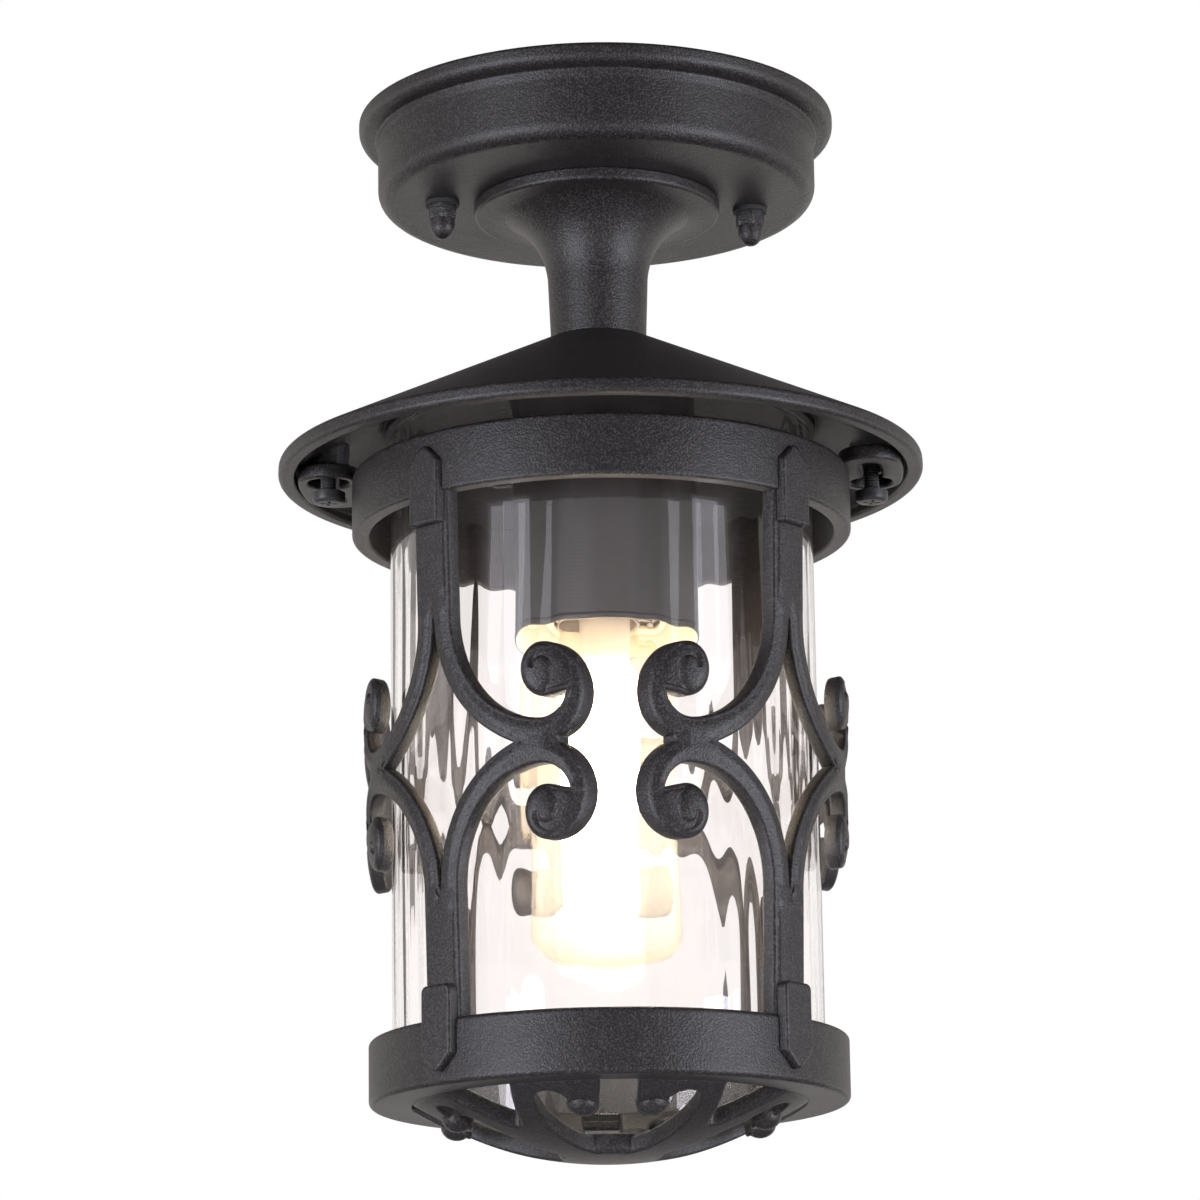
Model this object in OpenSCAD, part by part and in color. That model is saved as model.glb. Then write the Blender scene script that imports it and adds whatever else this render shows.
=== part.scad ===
// Porch ceiling lantern: canopy, stem and conical roof with a drop-down cage of
// four scroll bars round a glass tube, and a screw-in lamp inside.
// Origin: centre of the ceiling plane. +Z is up and the lantern hangs below, so
// every height is negative. The front bay of the cage faces -Y.

/* [Canopy] */
// Outer radius of the canopy body
canopy_r = 67; // [64:0.5:80]
// Height of the canopy from the ceiling to its floor
canopy_h = 27.2; // [25:0.1:40]
// Thickness of the canopy's side and floor
canopy_wall = 2.5; // [2:0.1:3.5]
// Radius of the floor's rounded outer edge
canopy_fillet = 4.5; // [1:0.5:6]
// How far the rolled lip stands out from the body
lip_out = 5.8; // [5:0.1:8]
// Height of the rolled lip
lip_h = 5.6; // [4.5:0.1:8]
// Width of the sealing ring under the ceiling
ceiling_gasket_w = 4; // [3:0.5:5]
// Thickness of the sealing ring under the ceiling
ceiling_gasket_t = 3; // [2:0.5:4]
// How far the sealing ring stands out of its groove
gasket_proud = 0.5; // [0.2:0.1:1]

/* [Ceiling bracket] */
// Length of the bracket strap
bracket_l = 116; // [108:1:118]
// Width of the bracket strap
bracket_w = 24; // [20:1:28]
// Thickness of the bracket strap
bracket_t = 2.5; // [2.5:0.5:4]
// Distance between the two ceiling screw slots
ceiling_slot_spacing = 60; // [54:1:66]
// End-to-end length of a ceiling screw slot
ceiling_slot_l = 12; // [8:1:16]
// Width of a ceiling screw slot
ceiling_slot_w = 5.2; // [4.5:0.1:6.5]
// Radius of the hole for the supply cable
cable_hole_r = 9; // [7:0.5:10.5]
// Distance between the two studs
stud_spacing = 95; // [88:1:98]
// Turn of the stud line away from the row of ceiling slots
stud_turn = 4; // [0:1:8]
// Thread diameter of the studs
stud_d = 5; // [4:0.5:6]
// Width across the flats of a dome nut
dome_nut_af = 8; // [8:0.5:10]
// Height of a dome nut's hexagon
dome_nut_hex_h = 4.6; // [4:0.1:6]
// Height of the dome below the hexagon
dome_nut_dome_h = 6; // [5:0.1:8]
// Thickness of the sealing washer on a dome nut
seal_washer_t = 1.2; // [0.8:0.1:2]
// How far the sealing washer is wider than the nut's flats, on each side
seal_washer_edge = 1.2; // [0.5:0.1:2]

/* [Stem] */
// Height of the stem from the canopy floor to the roof
stem_h = 43.6; // [40:0.1:70]
// Radius of the stem's flange
flange_r = 37.6; // [32:0.1:42]
// Thickness of the stem's flange
flange_t = 3.9; // [3:0.1:6]
// Radius of the stem where its flare ends
stem_r = 15.2; // [14.6:0.1:18]
// Radius of the stem where it meets the roof
stem_foot_r = 14.5; // [13:0.1:15]
// Radius of the flare's arc
flare_r = 24.6; // [22:0.1:26]
// Height of the flare, from the canopy floor to its lower end
flare_h = 25.8; // [25.5:0.1:27]
// Thickness of the two rubber rings above and below the stem
stem_gasket_t = 1.8; // [1:0.1:2.5]
// Width of those rubber rings
stem_gasket_w = 3; // [2:0.1:3.4]

/* [Threaded tube] */
// Outer diameter of the threaded tube
tube_d = 10; // [9.5:0.5:12]
// Bore of the threaded tube
tube_bore_d = 7.8; // [6.5:0.1:8]
// Width across the flats of the tube's nuts
tube_nut_af = 14; // [14:0.5:17]
// Thickness of the tube's nuts
tube_nut_t = 4; // [3:0.1:5]
// Thickness of the washers under those nuts
tube_washer_t = 1.3; // [1:0.1:2]
// How far the threaded tube runs past its upper nut
tube_end_past_nut = 2.4; // [1:0.1:3]

/* [Roof] */
// Outer radius of the roof
roof_r = 97.5; // [97:0.5:110]
// Radius of the roof's flat top, under the stem
roof_top_r = 15.5; // [15:0.1:18]
// Fall of the cone from its top to its rim
roof_fall = 39.4; // [38:0.1:46]
// Height of the rim's outer face
rim_h = 4.2; // [3.6:0.1:7]
// Width of the flat band under the rim
rim_w = 5; // [3:0.1:5.4]
// Thickness of the cone, measured square to it
roof_wall = 3; // [2:0.1:3.2]
// Edge rounding of the rim
rim_round = 1; // [0.4:0.1:1.5]
// Radius of the hub under the roof that the tube passes through
hub_r = 14; // [11:0.5:15]
// Depth of that hub below the roof's top
hub_h = 9.7; // [9.5:0.1:12]
// Radius of the bosses that hold the retaining screws
keeper_boss_r = 6; // [4.5:0.1:6.5]

/* [Retaining screws and keyholes] */
// Distance of each retaining screw from the lantern's axis
keeper_at = 82.2; // [81.5:0.1:83]
// Thread diameter of a retaining screw
keeper_d = 4.9; // [4.5:0.1:5.2]
// Radial running clearance of the screw in its boss and washer
keeper_fit = 0.05; // [0.02:0.01:0.1]
// Length of the screw below its head
keeper_l = 10; // [10:0.1:10.4]
// Diameter of the screw's head
keeper_head_d = 9.9; // [8.6:0.1:10.6]
// Height of the screw's head
keeper_head_h = 2.4; // [2:0.1:3.5]
// Width of the cross recess in the head
cross_w = 1; // [0.6:0.1:1.4]
// Span of the cross recess in the head
cross_l = 5; // [3:0.1:6]
// Depth of the cross recess in the head
cross_depth = 1.2; // [0.6:0.1:1.6]
// Thickness of the washer on a retaining screw
keeper_washer_t = 0.8; // [0.5:0.1:1.2]
// Gap from the lug down to the washer, with the screw slackened
keeper_slack = 2.9; // [2.5:0.1:3.2]
// Radius of the wide end of the keyhole
keyhole_r = 6.35; // [5.9:0.05:6.8]
// Width of the narrow end of the keyhole
keyslot_w = 5.6; // [5.4:0.1:6.4]
// Turn of the cage from the wide end to the locked end of the keyhole
lock_turn = 14; // [11:1:18]
// Width of metal round the keyhole, from its centre line
lug_reach = 9.3; // [8.6:0.1:9.6]
// Thickness of a lug
lug_t = 4.4; // [3:0.1:4.8]
// Height of the lugs above the top edge of the upper ring
lug_step = 2.9; // [1:0.1:2.9]
// Height of the lugs' top above the roof's lower edge
lug_inside_roof = 3.4; // [3:0.1:3.4]

/* [Cage] */
// Outer radius of the cage's upper ring
top_ring_r = 75.2; // [74.8:0.1:76]
// Wall of the upper ring
top_ring_wall = 5.2; // [4:0.1:6]
// Height of the upper ring
top_ring_h = 18.6; // [15:0.1:22]
// Outer radius of the cage's lower ring
low_ring_r = 70.7; // [70:0.1:71.5]
// Wall of the lower ring
low_ring_wall = 5.7; // [5:0.1:6]
// Height of the lower ring
low_ring_h = 18.9; // [14:0.1:21]
// Height of the cage from the upper ring's top to the lower ring's bottom
cage_h = 190.4; // [186:0.1:210]
// Inner radius of the ledge that carries the glass
ledge_r = 58; // [56:0.1:59]
// Thickness of that ledge
ledge_t = 3; // [2:0.1:4]
// Rounding of the lower ring's outer corners
low_ring_round = 1.5; // [0.5:0.1:2]

/* [Scroll bars] */
// Number of scroll bars and of bays between them
bay_count = 4; // [4]
// Outer radius of the scroll band at the level where the scrolls touch
band_r = 72.8; // [72.4:0.1:73.6]
// Radial thickness of the bars and scrolls
band_t = 5.6; // [4.5:0.1:6]
// Outward lean of the bars, as radius gained per height
bar_lean = 0.028; // [0.01:0.001:0.03]
// Width of a bar
bar_w = 13.6; // [13.6:0.1:15]
// Level where upper and lower scrolls touch, below the upper ring's top
scroll_meet_below = 96.3; // [94:0.1:98]
// Height above the meeting level at which a bar forks into two strips
fork_h = 40.7; // [40:0.1:44]
// Radius of the sweep on the strip's lower edge
sweep_r = 43.2; // [42.5:0.1:44]
// Width of a strip
strip_w = 6.8; // [6.5:0.1:7]
// Distance of the scroll head's centre from the bay's centre line
scroll_at = 20.2; // [19.4:0.1:21]
// Radius of the scroll head
scroll_r = 14.6; // [14:0.1:15.2]
// Radius of the knob that ends the scroll
knob_r = 8; // [7.6:0.1:8.4]
// Radius of the gap between the strip and the knob
eye_r = 12.4; // [12:0.1:12.8]
// Height of the strip's upper edge above the meeting level, under the knob
eye_floor = 7.2; // [6.8:0.1:7.6]
// Where the flat contact between two scrolls ends, from the bay's centre line
contact_end = 15.2; // [14:0.1:17]
// Radius of the dome on a knob
dome_r = 6.3; // [5:0.1:7]
// Height of the dome on a knob
dome_h = 1.3; // [0.8:0.1:2]

/* [Bar tabs] */
// Width of the pointed tabs that fix the bars to the rings
tab_w = 11.4; // [10:0.1:13]
// Height of a tab's pointed end
tab_point_h = 5.5; // [4:0.1:7]
// Distance of the upper tab's face from the axis
top_tab_at = 77.2; // [76.8:0.1:79]
// Distance from the upper ring's top down to the upper tab's point
top_tab_drop = 3.7; // [3:0.1:6]
// Length of the upper tab
top_tab_l = 24.4; // [20:0.1:28]
// Distance of the lower tab's face from the axis
low_tab_at = 73.4; // [73:0.1:75]
// Distance from the lower ring's bottom up to the lower tab's point
low_tab_rise = 2.9; // [2:0.1:6]
// Length of the lower tab
low_tab_l = 25.3; // [22:0.1:30]

/* [Bottom grille] */
// Radius of the bowl that the grille follows
bowl_r = 112; // [109:1:118]
// Thickness of the grille's strips
grille_t = 5; // [4:0.1:6]
// Depth of the grille below the lower ring
grille_drop = 15.5; // [15:0.1:16]
// Radius of the grille's centre boss
boss_r = 15.3; // [14:0.1:16.5]
// Thickness of the centre boss
boss_t = 5.8; // [5.5:0.1:6.5]
// Radius of the recess in the boss
recess_r = 6.5; // [6:0.1:8]
// Depth of the recess in the boss
recess_depth = 2.6; // [2.2:0.1:3]
// Thread diameter of the boss screw
boss_screw_d = 6; // [5:0.5:6]
// Height of the boss screw's head
boss_screw_head_h = 1.8; // [1.4:0.1:2]
// Half width of the heart opening
heart_half_w = 23.5; // [22:0.1:24]
// Radius of the grille's knobs
grille_knob_r = 4.4; // [3.5:0.1:5]
// Distance of a grille knob from the heart's centre line
grille_knob_side = 9.8; // [9:0.1:10.5]
// Distance of a grille knob from the axis, along the heart's centre line
grille_knob_out = 44.8; // [43:0.1:46]
// Distance from the axis to the tip of the gap between two hearts
wedge_tip = 39; // [37:0.1:42]

/* [Glass] */
// Outer radius of the glass tube
glass_r = 63.7; // [62.5:0.1:64.2]
// Wall of the glass tube
glass_wall = 3.7; // [2.5:0.1:4.2]
// Thickness of the gasket above the glass
top_gasket_t = 2; // [1:0.1:3]
// Gap between the glass and the gasket above it
glass_play = 0.3; // [0.2:0.1:0.6]
// Thickness of the gasket below the glass
base_gasket_t = 2; // [1:0.1:3]

/* [Lampholder] */
// Outer radius of the cup round the lampholder
cup_r = 28.5; // [27:0.1:34]
// Depth of the cup
cup_h = 83.5; // [80:0.1:90]
// Wall of the cup
cup_wall = 1.2; // [0.8:0.1:2]
// Thickness of the cup's top
cup_top_t = 1.5; // [1:0.1:2.5]
// Outer radius of the lampholder
holder_r = 20; // [19.6:0.1:22]
// Wall of the lampholder's cap and skirt
holder_wall = 2.2; // [1.8:0.1:2.4]
// Distance from the cup's top down to the lampholder
holder_drop = 11.5; // [10:0.1:14]
// Height of the lampholder's cap
holder_cap_h = 24; // [20:0.1:26]
// Height of the lampholder's skirt
skirt_h = 43.5; // [40:0.1:45]
// Thickness of the ceramic insert
insert_h = 22; // [20:0.1:23]
// Wall of the metal screw shell
shell_wall = 0.7; // [0.5:0.1:0.9]
// Radial clearance between the lamp's cap and the screw shell
lamp_fit = 0.08; // [0.03:0.01:0.1]

/* [Lamp] */
// Diameter of the lamp's screw cap
lamp_cap_d = 26.2; // [25.8:0.1:26.4]
// Length of the lamp's threaded cap
lamp_thread_l = 21; // [20:0.1:22]
// Length of the lamp from its contact to its tip
lamp_l = 130; // [118:1:135]
// Radius of the lamp's clear envelope
lamp_r = 23; // [20:0.1:25]
// Wall of the envelope
lamp_glass_t = 1; // [0.6:0.1:1.4]
// Radius of the bright tube inside the envelope
lamp_tube_r = 12; // [9:0.1:14]

/* [Hidden] */
$fn = 96;

// Overlap of a cutting solid past the face that it cuts
past = 1;
// Clearance round a fixed thread or a fixed screw
thread_gap = 0.05;
// Clearance of a plain hole round a thread
hole_gap = 0.4;

// Levels, from the ceiling down
z_floor = -canopy_h;
z_floor_top = z_floor + canopy_wall;
z_roof_top = z_floor - stem_h;
z_rim_top = z_roof_top - roof_fall;
z_rim = z_rim_top - rim_h;
z_hub = z_roof_top - hub_h;
z_cup_top = z_hub;
z_cup_inside = z_cup_top - cup_top_t;
z_cup_mouth = z_cup_top - cup_h;
z_lug_top = z_rim + lug_inside_roof;
z_lug = z_lug_top - lug_t;
z_ring_top = z_lug_top - lug_step;
z_ring = z_ring_top - top_ring_h;
z_meet = z_ring_top - scroll_meet_below;
z_foot = z_ring_top - cage_h;
z_foot_top = z_foot + low_ring_h;
z_ledge = z_foot + ledge_t;
z_boss = z_foot - grille_drop;

// Roof cone
roof_slope = roof_fall / (roof_r - roof_top_r);
roof_wall_v = roof_wall * sqrt(1 + roof_slope * roof_slope);
function roof_outside(r) = z_roof_top - (r - roof_top_r) * roof_slope;
function roof_inside(r) = roof_outside(r) - roof_wall_v;

// Glass and its two gaskets
seat_edge = 1.4;
seat_in = glass_r - glass_wall - seat_edge;
seat_out = glass_r + seat_edge;
z_seat = roof_inside(seat_out) - 1;
z_glass_top = z_seat - top_gasket_t - glass_play;
z_glass = z_ledge + base_gasket_t;

// Threaded tube
tube_r = tube_d / 2;
tube_hole_r = tube_r + hole_gap;
z_upper_nut = z_floor_top + tube_washer_t;
z_lower_nut = z_cup_inside - tube_washer_t;
z_tube_top = z_upper_nut + tube_nut_t + tube_end_past_nut;
tube_washer_r = tube_nut_af / 2 + 2;

// Lampholder
z_holder = z_cup_top - holder_drop;
nipple_r = tube_r + 3.5;
nipple_h = 6;
dome_fall = 9;
z_holder_joint = z_holder - holder_cap_h;
z_tube = z_holder - nipple_h;
insert_r = holder_r - holder_wall - 0.2;
z_insert_top = z_holder_joint + 8;
z_insert = z_insert_top - insert_h;
z_skirt = z_holder_joint - skirt_h;
contact_gap = 0.2;
contact_h = 2.8;
z_lamp_top = z_insert - contact_h - contact_gap;
terminal_at = 9;
terminal_size = [5, 6, 6];

// Lamp
lamp_cap_r = lamp_cap_d / 2;
lamp_contact_h = 1.8;
lamp_shoulder_h = 4;
z_lamp_shoulder = z_lamp_top - lamp_contact_h;
z_lamp_thread = z_lamp_shoulder - lamp_shoulder_h;
z_lamp_cap = z_lamp_thread - lamp_thread_l;
z_lamp_tip = z_lamp_top - lamp_l;
lamp_cap_wall = 0.8;
lamp_neck_h = 20;
lamp_dome_h = 9;
lamp_stem_r = 8.5;
lamp_stem_l = 14;
lamp_tube_clear = 12;
lamp_tube_edge = 2;
lamp_tube_dome = 6;

// Retaining screws
keeper_hole_r = keeper_d / 2 + keeper_fit;
lug_gap = 0.2;
z_keeper_boss = z_lug_top + lug_gap;
z_keeper_washer = z_lug - keeper_slack - keeper_washer_t;
z_keeper_head = z_keeper_washer - keeper_head_h;
z_keeper_tip = z_keeper_washer + keeper_l;
z_keeper_hole = z_keeper_tip + keeper_slack + 0.1;

// Canopy fittings
stud_r = stud_d / 2;
z_nut_seat = z_floor - seal_washer_t;
z_nut_hex = z_nut_seat - dome_nut_hex_h;
z_stud = z_nut_hex - dome_nut_dome_h + 2.4;
terminal_block = [34, 17, 12];
terminal_block_at = [0, 33];
pole_pitch = 10;
earth_block = [8, 8, 4.5];
earth_at = [34, 12];

// Wires: routes of round numbers, chosen by hand, from the terminal block
wire_d = 2.4;
wire_side = 1.4;
wire_gap = 0.05;
wire_entry = terminal_block_at[1] - terminal_block[1] / 2;
z_pole = z_floor_top + terminal_block[2] / 2;
z_terminal = z_insert_top + terminal_size[2] / 2;
live_route = concat(
    [[-pole_pitch, wire_entry - wire_gap, z_pole], [-pole_pitch, wire_entry - 2, z_pole]],
    [[-10, 18, -17.5], [-7, 11, -12], [-3.4, 4, -9]],
    [for (z = [-12, -16, -30, -50, -70, -90]) [-wire_side, 0, z]],
    [[-wire_side, 0, z_tube + 1], [-2.2, 0, z_tube - 3.2], [-3.6, 0, z_terminal + 1.2]],
    [for (s = [1.6, wire_gap]) [-terminal_at + terminal_size[0] / 2 + s, 0, z_terminal]]
);
neutral_route = concat(
    [[0, wire_entry - wire_gap, z_pole], [0, wire_entry - 2, z_pole]],
    [[1, 18, -17.5], [3, 11, -12], [3.4, 4, -9]],
    [for (z = [-12, -16, -30, -50, -70, -90]) [wire_side, 0, z]],
    [[wire_side, 0, z_tube + 1], [2.2, 0, z_tube - 3.2], [3.6, 0, z_terminal + 1.2]],
    [for (s = [1.6, wire_gap]) [terminal_at - terminal_size[0] / 2 - s, 0, z_terminal]]
);
earth_route = [
    [pole_pitch, wire_entry - wire_gap, z_pole], [pole_pitch, wire_entry - 2, z_pole],
    [11, 19, -18.5], [15, 14, -18], [21, earth_at[1], -19.5],
    [26, earth_at[1], z_floor_top + 2.2],
    [earth_at[0] - earth_block[0] / 2 - 2, earth_at[1], z_floor_top + 2.2],
    [earth_at[0] - earth_block[0] / 2 - wire_gap, earth_at[1], z_floor_top + 2.2]
];

// Half the arc between two bars, on the outside of the scroll band
half_bay = band_r * PI / bay_count;
bay_angle = 360 / bay_count;
tilt = atan(bar_lean);

// Points on an arc from angle a0 to angle a1; skip = 1 leaves out the first
function arc(c, r, a0, a1, n, skip = 0) =
    [for (i = [skip:n]) let (a = a0 + (a1 - a0) * i / n) c + r * [cos(a), sin(a)]];

// Points on an elliptical quarter from [r, z0] to [0, z1], for a turned profile
function quarter(r, z0, z1, n) =
    [for (i = [1:n]) [r * cos(90 * i / n), z0 + (z1 - z0) * sin(90 * i / n)]];

// Smooth curve through points
function pull(a, b, c, d, t) = 0.5 * (2 * b + (c - a) * t
    + (2 * a - 5 * b + 4 * c - d) * t * t + (3 * b - a - 3 * c + d) * t * t * t);
function smooth(p, n) = let (e = len(p) - 1) concat(
    [for (i = [0:e - 1]) for (k = [0:n - 1])
        pull(p[max(i - 1, 0)], p[i], p[i + 1], p[min(i + 2, e)], k / n)],
    [p[e]]);

// One of the two points where two circles cross
function crossing(c1, r1, c2, r2, side) =
    let (v = c2 - c1, d = norm(v), e = v / d)
    let (a = (r1 * r1 - r2 * r2 + d * d) / (2 * d))
    c1 + a * e + side * sqrt(r1 * r1 - a * a) * [-e[1], e[0]];

function angle_from(c, p) = atan2(p[1] - c[1], p[0] - c[0]);
function reversed(p) = [for (i = [len(p) - 1:-1:0]) p[i]];
function mirrored(p) = [for (q = p) [-q[0], q[1]]];

// Turned ring between two radii and two heights
module turned_ring(r_in, r_out, z0, z1) {
    translate([0, 0, z0])
        difference() {
            cylinder(r = r_out, h = z1 - z0);
            translate([0, 0, -past]) cylinder(r = r_in, h = z1 - z0 + 2 * past);
        }
}

module rod(r, z0, z1) {
    translate([0, 0, z0]) cylinder(r = r, h = z1 - z0);
}

module hexagon(af, z0, z1) {
    translate([0, 0, z0]) cylinder(r = af / sqrt(3), h = z1 - z0, $fn = 6);
}

// ---- Ceiling and canopy ----

module ceiling_gasket() {
    mid = (canopy_r - canopy_wall + canopy_r + lip_out) / 2;
    color([0.1, 0.1, 0.1])
        turned_ring(mid - ceiling_gasket_w / 2, mid + ceiling_gasket_w / 2, -ceiling_gasket_t, 0);
}

module canopy_profile() {
    lip_r = canopy_r + lip_out;
    edge = 1.4;
    z0 = -gasket_proud;
    z1 = z0 - lip_h;
    f = canopy_fillet;
    polygon(concat(
        [[canopy_r - canopy_wall, z0]],
        arc([lip_r - edge, z0 - edge], edge, 90, 0, 5),
        arc([lip_r - 2 * edge, z1 + 2 * edge], 2 * edge, 0, -90, 6),
        [[canopy_r + 1, z1], [canopy_r + 1, z1 - 1], [canopy_r, z1 - 1.9]],
        arc([canopy_r - f, z_floor + f], f, 0, -90, 6),
        [[tube_hole_r, z_floor], [tube_hole_r, z_floor_top]],
        [[canopy_r - canopy_wall, z_floor_top]]
    ));
}

module at_studs() {
    for (side = [0, 180])
        rotate([0, 0, side + stud_turn]) translate([stud_spacing / 2, 0, 0]) children();
}

module canopy() {
    mid = (canopy_r - canopy_wall + canopy_r + lip_out) / 2;
    color([0.16, 0.16, 0.18])
        difference() {
            rotate_extrude() canopy_profile();
            turned_ring(mid - ceiling_gasket_w / 2, mid + ceiling_gasket_w / 2,
                -ceiling_gasket_t, past);
            at_studs() rod(stud_r + hole_gap, z_floor - past, z_floor_top + past);
        }
}

module mounting_bracket() {
    color("silver")
        difference() {
            translate([-bracket_l / 2, -bracket_w / 2, -bracket_t])
                cube([bracket_l, bracket_w, bracket_t]);
            rod(cable_hole_r, -bracket_t - past, past);
            for (side = [-1, 1])
                translate([side * ceiling_slot_spacing / 2, 0, -bracket_t - past])
                    ceiling_slot(bracket_t + 2 * past);
            at_studs() {
                rod(stud_r + thread_gap, -bracket_t - past, past);
                translate([0, 0, -stud_r]) cylinder(r1 = stud_r + thread_gap,
                    r2 = 2 * stud_r + thread_gap, h = stud_r + 0.01);
            }
        }
}

module ceiling_slot(h) {
    run = (ceiling_slot_l - ceiling_slot_w) / 2;
    for (side = [-1, 1])
        translate([side * run, 0, 0]) cylinder(d = ceiling_slot_w, h = h);
    translate([-run, -ceiling_slot_w / 2, 0]) cube([2 * run, ceiling_slot_w, h]);
}

module bracket_studs() {
    sunk = 0.1;
    color("silver")
        at_studs() {
            rod(stud_r, z_stud, -stud_r);
            translate([0, 0, -stud_r])
                cylinder(r1 = stud_r, r2 = 2 * stud_r - sunk, h = stud_r - sunk);
        }
}

module seal_washers() {
    color([0.08, 0.08, 0.08])
        at_studs()
            turned_ring(stud_r + thread_gap, dome_nut_af / 2 + seal_washer_edge,
                z_nut_seat, z_floor);
}

module dome_nuts() {
    dome_w = dome_nut_af / 2 - 0.2;
    color([0.2, 0.2, 0.22])
        at_studs()
            difference() {
                union() {
                    hexagon(dome_nut_af, z_nut_hex, z_nut_seat);
                    rotate_extrude()
                        polygon(concat([[0, z_nut_hex + 0.5], [dome_w, z_nut_hex + 0.5]],
                            [[dome_w, z_nut_hex - 2]],
                            quarter(dome_w, z_nut_hex - 2, z_nut_hex - dome_nut_dome_h, 6)));
                }
                rod(stud_r + thread_gap, z_stud - 0.4, z_nut_seat + past);
            }
}

module terminal_block() {
    b = terminal_block;
    color("ivory")
        translate([terminal_block_at[0], terminal_block_at[1], z_floor_top])
            difference() {
                translate([-b[0] / 2, -b[1] / 2, 0]) cube(b);
                for (k = [-1:1])
                    translate([k * pole_pitch, 0, b[2] - 4])
                        cylinder(d = 4.2, h = 4 + past);
            }
}

module terminal_screws() {
    color("goldenrod")
        for (k = [-1:1])
            translate([terminal_block_at[0] + k * pole_pitch, terminal_block_at[1],
                z_floor_top + terminal_block[2] - 4])
                difference() {
                    cylinder(d = 4, h = 2.6);
                    translate([-past - 2, -0.4, 1.8]) cube([4 + 2 * past, 0.8, 1 + past]);
                }
}

module earth_terminal() {
    b = earth_block;
    color("goldenrod")
        translate([earth_at[0], earth_at[1], z_floor_top]) {
            translate([-b[0] / 2, -b[1] / 2, 0]) cube(b);
            translate([0, 0, b[2] - 0.5]) cylinder(d = 6.5, h = 2.7);
        }
}

// ---- Stem and threaded tube ----

stem_gasket_mid = (stem_r + flange_r) / 2;
roof_gasket_mid = (tube_hole_r + stem_foot_r) / 2;

module stem_gasket() {
    color([0.08, 0.08, 0.08])
        turned_ring(stem_gasket_mid - stem_gasket_w / 2, stem_gasket_mid + stem_gasket_w / 2,
            z_floor - stem_gasket_t, z_floor);
}

module roof_gasket() {
    color([0.08, 0.08, 0.08])
        turned_ring(roof_gasket_mid - stem_gasket_w / 2, roof_gasket_mid + stem_gasket_w / 2,
            z_roof_top, z_roof_top + stem_gasket_t);
}

module stem() {
    z_flange = z_floor - flange_t;
    z_flare = z_floor - flare_h;
    centre = [stem_r + flare_r, z_flare];
    start = 180 - asin((z_flange - z_flare) / flare_r);
    edge = 0.6;
    color([0.16, 0.16, 0.18])
        difference() {
            rotate_extrude()
                polygon(concat(
                    [[tube_hole_r, z_floor], [flange_r, z_floor]],
                    [[flange_r, z_flange + edge], [flange_r - edge, z_flange]],
                    arc(centre, flare_r, start, 180, 12),
                    [[stem_foot_r, z_roof_top], [tube_hole_r, z_roof_top]]
                ));
            turned_ring(stem_gasket_mid - stem_gasket_w / 2,
                stem_gasket_mid + stem_gasket_w / 2, z_floor - stem_gasket_t, z_floor + past);
            turned_ring(roof_gasket_mid - stem_gasket_w / 2,
                roof_gasket_mid + stem_gasket_w / 2, z_roof_top - past,
                z_roof_top + stem_gasket_t);
        }
}

module threaded_tube() {
    color("silver") turned_ring(tube_bore_d / 2, tube_r, z_tube, z_tube_top);
}

module tube_washers() {
    color("silver") {
        turned_ring(tube_r + thread_gap, tube_washer_r, z_floor_top, z_upper_nut);
        turned_ring(tube_r + thread_gap, tube_washer_r, z_lower_nut, z_cup_inside);
    }
}

module tube_nuts() {
    color("silver")
        for (z = [z_upper_nut, z_lower_nut - tube_nut_t])
            difference() {
                hexagon(tube_nut_af, z, z + tube_nut_t);
                rod(tube_r + thread_gap, z - past, z + tube_nut_t + past);
            }
}

// ---- Roof ----

module roof_outline(inner) {
    polygon(concat(
        [[tube_hole_r, z_roof_top], [roof_top_r, z_roof_top]],
        [[roof_r - rim_round, roof_outside(roof_r - rim_round)]],
        arc([roof_r - rim_round, z_rim_top - rim_round], rim_round, 60, 0, 3),
        arc([roof_r - rim_round, z_rim + rim_round], rim_round, 0, -90, 4),
        inner
    ));
}

module roof_shell() {
    band_in = roof_r - rim_w;
    rotate_extrude()
        roof_outline([
            [band_in, z_rim], [band_in, roof_inside(band_in)],
            [seat_out, roof_inside(seat_out)], [seat_out, z_seat],
            [seat_in, z_seat], [seat_in, roof_inside(seat_in)],
            [hub_r, roof_inside(hub_r)], [hub_r, z_hub], [tube_hole_r, z_hub]
        ]);
}

module at_keepers() {
    for (side = [0, 180]) rotate([0, 0, side]) translate([keeper_at, 0, 0]) children();
}

module roof() {
    color([0.16, 0.16, 0.18])
        difference() {
            roof_shell();
            at_keepers() rod(keeper_hole_r, z_rim - past, z_keeper_hole);
        }
}

// The bosses reach up to the cone's underside
module roof_bosses() {
    inner = keeper_at - 2 * keeper_boss_r;
    outer = keeper_at + 2 * keeper_boss_r;
    color([0.16, 0.16, 0.18])
        difference() {
            intersection() {
                at_keepers() rod(keeper_boss_r, z_keeper_boss, z_roof_top);
                rotate_extrude()
                    polygon([
                        [inner, z_rim], [outer, z_rim],
                        [outer, roof_inside(outer)], [inner, roof_inside(inner)]
                    ]);
            }
            at_keepers() rod(keeper_hole_r, z_rim - past, z_keeper_hole);
        }
}

module glass_top_gasket() {
    color([0.12, 0.12, 0.12])
        turned_ring(seat_in, seat_out, z_seat - top_gasket_t, z_seat);
}

// ---- Lampholder ----

module holder_cup() {
    color([0.14, 0.14, 0.15]) {
        difference() {
            rod(cup_r, z_cup_mouth, z_cup_top);
            rod(cup_r - cup_wall, z_cup_mouth - past, z_cup_inside);
            rod(tube_r + hole_gap, z_cup_mouth, z_cup_top + past);
        }
    }
}

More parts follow.
